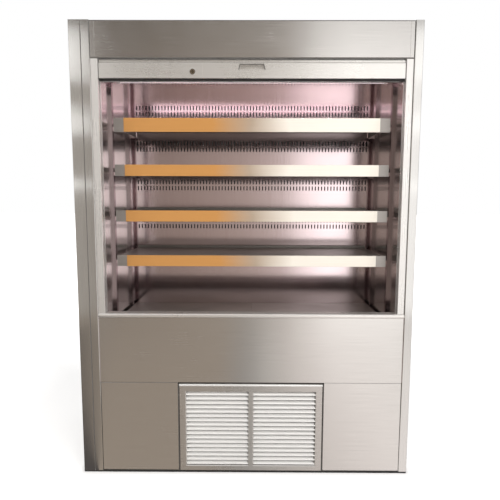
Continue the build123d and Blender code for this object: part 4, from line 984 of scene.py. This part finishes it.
def makeHoneycomb(c):
    low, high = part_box("air_honeycomb")
    bm = bmesh.new()
    half = c["wall"] / 2
    across = round((high.x - low.x) / c["cell"])
    deep = round((high.y - low.y) / c["cell"])
    for n in range(across + 1):
        x = low.x + half + (high.x - low.x - c["wall"]) * n / across
        addBox(bm, (x - half, low.y, low.z), (x + half, high.y, high.z))
    for n in range(deep + 1):
        y = low.y + half + (high.y - low.y - c["wall"]) * n / deep
        addBox(bm, (low.x, y - half, low.z + c["lift"]), (high.x, y + half, high.z))
    cells = fromBmesh("honeycombCells", bm, finish["combPlastic"])
    settle(cells, "cabinet", "white_plastic", "air_honeycomb")


makeHoneycomb(comb)

# control box marks: dial ticks and a pointer on the knob
marks = {
    "dial": (0.0215, 0.0265),
    "tickCount": 9,
    "arc": 270,
    "tick": 0.0009,
    "tickDepth": (-0.0003, 0.0005),
    "pointerHalf": 0.0008,
    "pointerDepth": (-0.0002, 0.002),
    "pointerGap": 0.003,  # to the knob's middle and to its edge
    "pointerEase": 0.0002,
}


def makeMarks(m):
    low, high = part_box("thermostat_knob")
    x, z = (low.x + high.x) / 2, (low.z + high.z) / 2
    front, back = [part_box("control_box")[0].y + d for d in m["tickDepth"]]
    bm = bmesh.new()
    for n in range(m["tickCount"]):
        a = math.radians(90 + m["arc"] / 2 - m["arc"] * n / (m["tickCount"] - 1))
        out = Vector((math.cos(a), 0, math.sin(a)))
        side = Vector((-math.sin(a), 0, math.cos(a))) * m["tick"]
        near, far = out * m["dial"][0], out * m["dial"][1]
        corners = [near - side, far - side, far + side, near + side]
        addPlate(bm, [(x + c.x, z + c.z) for c in corners], front, back)
    settle(fromBmesh("dialTicks", bm, finish["whitePlastic"]), "cabinet", "white_plastic")
    half, gap = m["pointerHalf"], m["pointerGap"]
    front, back = [low.y + d for d in m["pointerDepth"]]
    bm = bmesh.new()
    addBox(bm, (x - half, front, z + gap), (x + half, back, high.z - gap), m["pointerEase"])
    settle(fromBmesh("knobPointer", bm, finish["whitePlastic"]), "thermostat_knob", "white_plastic")


makeMarks(marks)

# lamp ends: moulded caps on the canopy lamp
lampCaps = {"length": 0.018, "grow": 0.0008, "ease": 0.003}


def makeLampCaps(c):
    low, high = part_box("canopy_lamp")
    grow = c["grow"]
    bm = bmesh.new()
    for x0, x1 in ((low.x, low.x + c["length"]), (high.x - c["length"], high.x)):
        addBox(bm, (x0, low.y - grow, low.z - grow), (x1, high.y + grow, high.z), c["ease"])
    settle(fromBmesh("lampEndCaps", bm, finish["whitePlastic"]), "cabinet", "white_plastic")


makeLampCaps(lampCaps)
print("honeycomb, marks and lamp caps made")

# studio floor and world
studio = {
    "floorTone": (0.9, 0.9, 0.9),
    "floorReach": 30,
    "floorLift": (0.34, 1.0),  # glow of the floor for the eye, near the object and far away
    "floorFade": (0.5, 2.3),
    "footprint": (0.72, 0.345),
    "footprintFade": 0.03,
    "ambient": 0.6,
    "ambientTone": (1, 0.99, 0.98),
}


def raySwitch(tree):
    # 1 for rays from the eye, mirrors and glass
    path = addNode(tree, "LightPath")
    either = addNode(tree, "Math", operation="MAXIMUM")
    orGlass = addNode(tree, "Math", operation="MAXIMUM")
    tree.links.new(path.outputs["Is Camera Ray"], either.inputs[0])
    tree.links.new(path.outputs["Is Glossy Ray"], either.inputs[1])
    tree.links.new(either.outputs[0], orGlass.inputs[0])
    tree.links.new(path.outputs["Is Transmission Ray"], orGlass.inputs[1])
    return orGlass.outputs[0]


def makeFloor(s):
    mat, tree, shader = startMaterial("floorPale")
    speckle = stretchedNoise(tree, (3, 3, 3), detail=4)
    darker = tuple(0.985 * t for t in s["floorTone"])
    tree.links.new(mixTones(tree, speckle, s["floorTone"], darker), shader.inputs["Base Color"])
    shader.inputs["Roughness"].default_value = 0.9
    shader.inputs["Specular IOR Level"].default_value = 0.1
    shader.inputs["Emission Color"].default_value = (1, 1, 1, 1)
    # distance outside the footprint, so that the gap under the panels stays dark
    split = splitPlace(tree)
    away = addNode(tree, "Math", operation="MAXIMUM")
    for n, (axis, half) in enumerate(zip("XY", s["footprint"])):
        size = addNode(tree, "Math", operation="ABSOLUTE")
        outside = addNode(tree, "Math", {1: half}, operation="SUBTRACT")
        tree.links.new(split.outputs[axis], size.inputs[0])
        tree.links.new(size.outputs[0], outside.inputs[0])
        tree.links.new(outside.outputs[0], away.inputs[n])
    lift = spread(tree, away.outputs[0], *s["floorLift"], *s["floorFade"])
    edge = spread(tree, away.outputs[0], 0, 1, 0, s["footprintFade"])
    glow = multiply(tree, multiply(tree, lift, edge), raySwitch(tree))
    tree.links.new(glow, shader.inputs["Emission Strength"])
    r = s["floorReach"]
    floor = addMesh("floor", [(-r, -r, 0), (r, -r, 0), (r, r, 0), (-r, r, 0)], [(0, 1, 2, 3)], mat)


def makeWorld(s):
    world = bpy.data.worlds.new("studioWorld")
    bpy.context.scene.world = world
    world.use_nodes = True
    tree = world.node_tree
    tree.nodes.clear()
    seen = addNode(tree, "Background", {"Color": (1, 1, 1, 1), "Strength": 1.0})
    lit = addNode(tree, "Background", {"Color": (*s["ambientTone"], 1), "Strength": s["ambient"]})
    choose = addNode(tree, "MixShader")
    tree.links.new(raySwitch(tree), choose.inputs[0])
    tree.links.new(lit.outputs[0], choose.inputs[1])
    tree.links.new(seen.outputs[0], choose.inputs[2])
    out = addNode(tree, "OutputWorld")
    tree.links.new(choose.outputs[0], out.inputs["Surface"])


# reflection cards: what the brushed sheet mirrors, warm and dim on the left, bright on the right
cards = {
    "radius": 3.4,
    "middle": -0.352,
    "height": 4.4,
    "steps": 32,
    "lift": 0.004,  # of the cards that lie on the floor
    "sideNear": 0.73,
    "wall": [  # metres across, tone
        (-3.4, (0.6, 0.57, 0.54)),
        (-1.8, (0.5, 0.47, 0.43)),
        (-1.55, (0.25, 0.215, 0.185)),
        (-0.9, (0.31, 0.265, 0.225)),
        (-0.1, (0.42, 0.37, 0.32)),
        (0.48, (0.6, 0.55, 0.5)),
        (0.72, (1.3, 1.26, 1.22)),
        (1.0, (1.55, 1.52, 1.48)),
        (1.6, (1.45, 1.42, 1.39)),
        (1.85, (0.95, 0.93, 0.91)),
        (2.6, (0.9, 0.88, 0.86)),
        (3.4, (0.6, 0.59, 0.58)),
    ],
    "rear": [
        (-3.4, (0.6, 0.58, 0.56)),
        (-1.6, (0.8, 0.79, 0.78)),
        (0.2, (0.5, 0.5, 0.51)),
        (1.7, (0.85, 0.85, 0.85)),
        (3.4, (0.55, 0.55, 0.56)),
    ],
    "rearGround": [(-3.4, (0.4, 0.39, 0.38)), (0, (0.52, 0.51, 0.5)), (3.4, (0.42, 0.42, 0.42))],
    "ground": [
        (-3.4, (0.13, 0.12, 0.11)),
        (-1.7, (0.3, 0.26, 0.22)),
        (-1.05, (0.37, 0.315, 0.26)),
        (-0.2, (0.38, 0.325, 0.27)),
        (-0.02, (0.36, 0.345, 0.33)),
        (0.12, (0.55, 0.53, 0.5)),
        (0.35, (0.78, 0.72, 0.69)),
        (0.7, (0.98, 0.92, 0.89)),
        (1.2, (0.98, 0.94, 0.91)),
        (3.4, (0.4, 0.38, 0.37)),
    ],
    # dark ground that the left post mirrors
    "wedge": [(-0.66, 0.0), (-1.56, -2.35), (-3.1, -1.3), (-3.38, 0.0)],
    "wedgeTone": (0.1, 0.09, 0.085),
    "wedgeLift": 0.007,
    "dusk": (2.45, 3.2, 0.42),  # the wall dims between these heights, to this share
    "strips": [(2.36, 2.86, 1.6), (1.86, 2.07, 1.6), (1.28, 1.4, 1.6)],  # low, high, glow
    "stripReach": (1.66, 2.5),
    "stripGap": 0.05,  # in front of the wall
    # grey card beside the case, so that its right side doesn't mirror the bright wall
    "flag": [(0.735, (0.44, 0.43, 0.42)), (1.05, (0.56, 0.55, 0.54)), (1.7, (0.8, 0.79, 0.78))],
    "flagFront": -0.36,
    "flagHeight": (0.008, 2.3),
}


def cardFinish(name, stops, dusk=None):
    mat = bpy.data.materials.new(name)
    mat.use_nodes = True
    tree = mat.node_tree
    tree.nodes.clear()
    split = splitPlace(tree)
    ramp = addNode(tree, "ValToRGB")
    first, last = stops[0][0], stops[-1][0]
    tree.links.new(spread(tree, split.outputs["X"], 0, 1, first, last), ramp.inputs["Fac"])
    ramp.color_ramp.elements[0].color = (*stops[0][1], 1)
    ramp.color_ramp.elements[1].color = (*stops[-1][1], 1)
    for across, tone in stops[1:-1]:
        stop = ramp.color_ramp.elements.new((across - first) / (last - first))
        stop.color = (*tone, 1)
    glow = addNode(tree, "Emission", {"Strength": 1.0})
    tree.links.new(ramp.outputs["Color"], glow.inputs["Color"])
    if dusk:
        low, high, share = dusk
        tree.links.new(spread(tree, split.outputs["Z"], 1, share, low, high), glow.inputs["Strength"])
    out = addNode(tree, "OutputMaterial")
    tree.links.new(glow.outputs[0], out.inputs["Surface"])
    return mat


def addCard(name, verts, mat, faces=((0, 1, 2, 3),)):
    # a card that only gloss sees
    card = addMesh(name, verts, faces, mat)
    card.visible_camera = False
    card.visible_diffuse = False
    card.visible_shadow = False
    card.visible_transmission = False


def makeCards(c):
    radius, middle, lift, steps = c["radius"], c["middle"], c["lift"], c["steps"]
    sides = ((-1, "L"), (1, "R"))
    curve, wall = [], []
    for n in range(steps + 1):
        a = math.pi * (1 + n / steps)
        x, y = radius * math.cos(a), radius * math.sin(a) + middle
        curve.append((x, y, lift))
        wall += [(x, y, lift), (x, y, c["height"])]
    wallFaces = [(2 * n, 2 * n + 2, 2 * n + 3, 2 * n + 1) for n in range(steps)]
    ground = [(0, middle, lift)] + curve
    groundFaces = [(0, n, n + 1) for n in range(1, steps + 1)]
    addCard("reflectionWall", wall, cardFinish("wallCard", c["wall"], c["dusk"]), wallFaces)
    addCard("reflectionGround", ground, cardFinish("groundCard", c["ground"]), groundFaces)

    def plainCard(name, tone):
        return cardFinish(name, [(-radius, tone), (radius, tone)])

    wedge = [(x, middle + y, c["wedgeLift"]) for x, y in c["wedge"]]
    addCard("reflectionWedge", wedge, plainCard("wedgeCard", c["wedgeTone"]))
    # the half behind the object, and the ground at its sides and back
    rearCard = cardFinish("rearCard", c["rear"], c["dusk"])
    addCard("reflectionRear", [(x, -y, z) for x, y, z in wall], rearCard, wallFaces)
    rearGround = cardFinish("rearGroundCard", c["rearGround"])
    addCard("reflectionRearGround", [(x, -y, z) for x, y, z in ground], rearGround, groundFaces)
    for side, letter in sides:
        near, far, y = side * c["sideNear"], side * radius, -middle
        corners = [(near, -y, lift), (far, -y, lift), (far, y, lift), (near, y, lift)]
        addCard(f"reflectionSide{letter}", corners, rearGround)
    x0, x1, y, (low, high) = c["flag"][0][0], c["flag"][-1][0], c["flagFront"], c["flagHeight"]
    corners = [(x0, y, low), (x1, y, low), (x1, y, high), (x0, y, high)]
    addCard("reflectionFlag", corners, cardFinish("flagCard", c["flag"]))
    reach = radius - c["stripGap"]
    for n, (low, high, glow) in enumerate(c["strips"]):
        mat = plainCard(f"stripCard{n}", (glow, 0.99 * glow, 0.97 * glow))
        for side, letter in sides:
            feet = [(side * x, middle - math.sqrt(reach**2 - x**2)) for x in c["stripReach"]]
            corners = [(*feet[k], z) for k, z in ((0, low), (1, low), (1, high), (0, high))]
            addCard(f"reflectionStrip{n}{letter}", corners, mat)


# lamps in front of the case, and the light that the canopy lamp throws on the shelves
lamps = {
    "keyLamp": {"place": (1.9, -3.0, 3.3), "size": 2.6, "power": 95, "tone": (1, 0.98, 0.96)},
    "fillLamp": {"place": (-2.4, -2.2, 2.2), "size": 2.2, "power": 34, "tone": (1, 0.97, 0.94)},
}
lampAim = (0, -0.2, 0.9)
caseLight = {
    "behind": (0.02, 0.09),  # lamp and aim, behind the middle of the canopy lamp
    "below": 0.004,
    "aimHeight": 0.7,
    "shorter": 0.04,
    "deep": 0.02,
    "power": 5,
    "tone": (1, 0.9, 0.92),
}


def makeLamp(name, place, aim, size, power, tone, deep=None):
    data = bpy.data.lights.new(name, "AREA")
    data.energy = power
    data.color = tone
    data.size = size
    if deep:
        data.shape = "RECTANGLE"
        data.size_y = deep
    lamp = bpy.data.objects.new(name, data)
    bpy.context.scene.collection.objects.link(lamp)
    lamp.location = place
    lamp.rotation_euler = (Vector(aim) - Vector(place)).to_track_quat("-Z", "Y").to_euler()
    lamp.visible_glossy = False


def makeCaseLight(c):
    low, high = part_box("canopy_lamp")
    lampY, aimY = [(low.y + high.y) / 2 + d for d in c["behind"]]
    place, aim = (caseMiddle, lampY, low.z - c["below"]), (caseMiddle, aimY, c["aimHeight"])
    makeLamp("caseLamp", place, aim, high.x - low.x - c["shorter"], c["power"], c["tone"], c["deep"])


makeFloor(studio)
makeWorld(studio)
makeCards(cards)
for name, lamp in lamps.items():
    makeLamp(name, lamp["place"], lampAim, lamp["size"], lamp["power"], lamp["tone"])
makeCaseLight(caseLight)
print("studio lit")
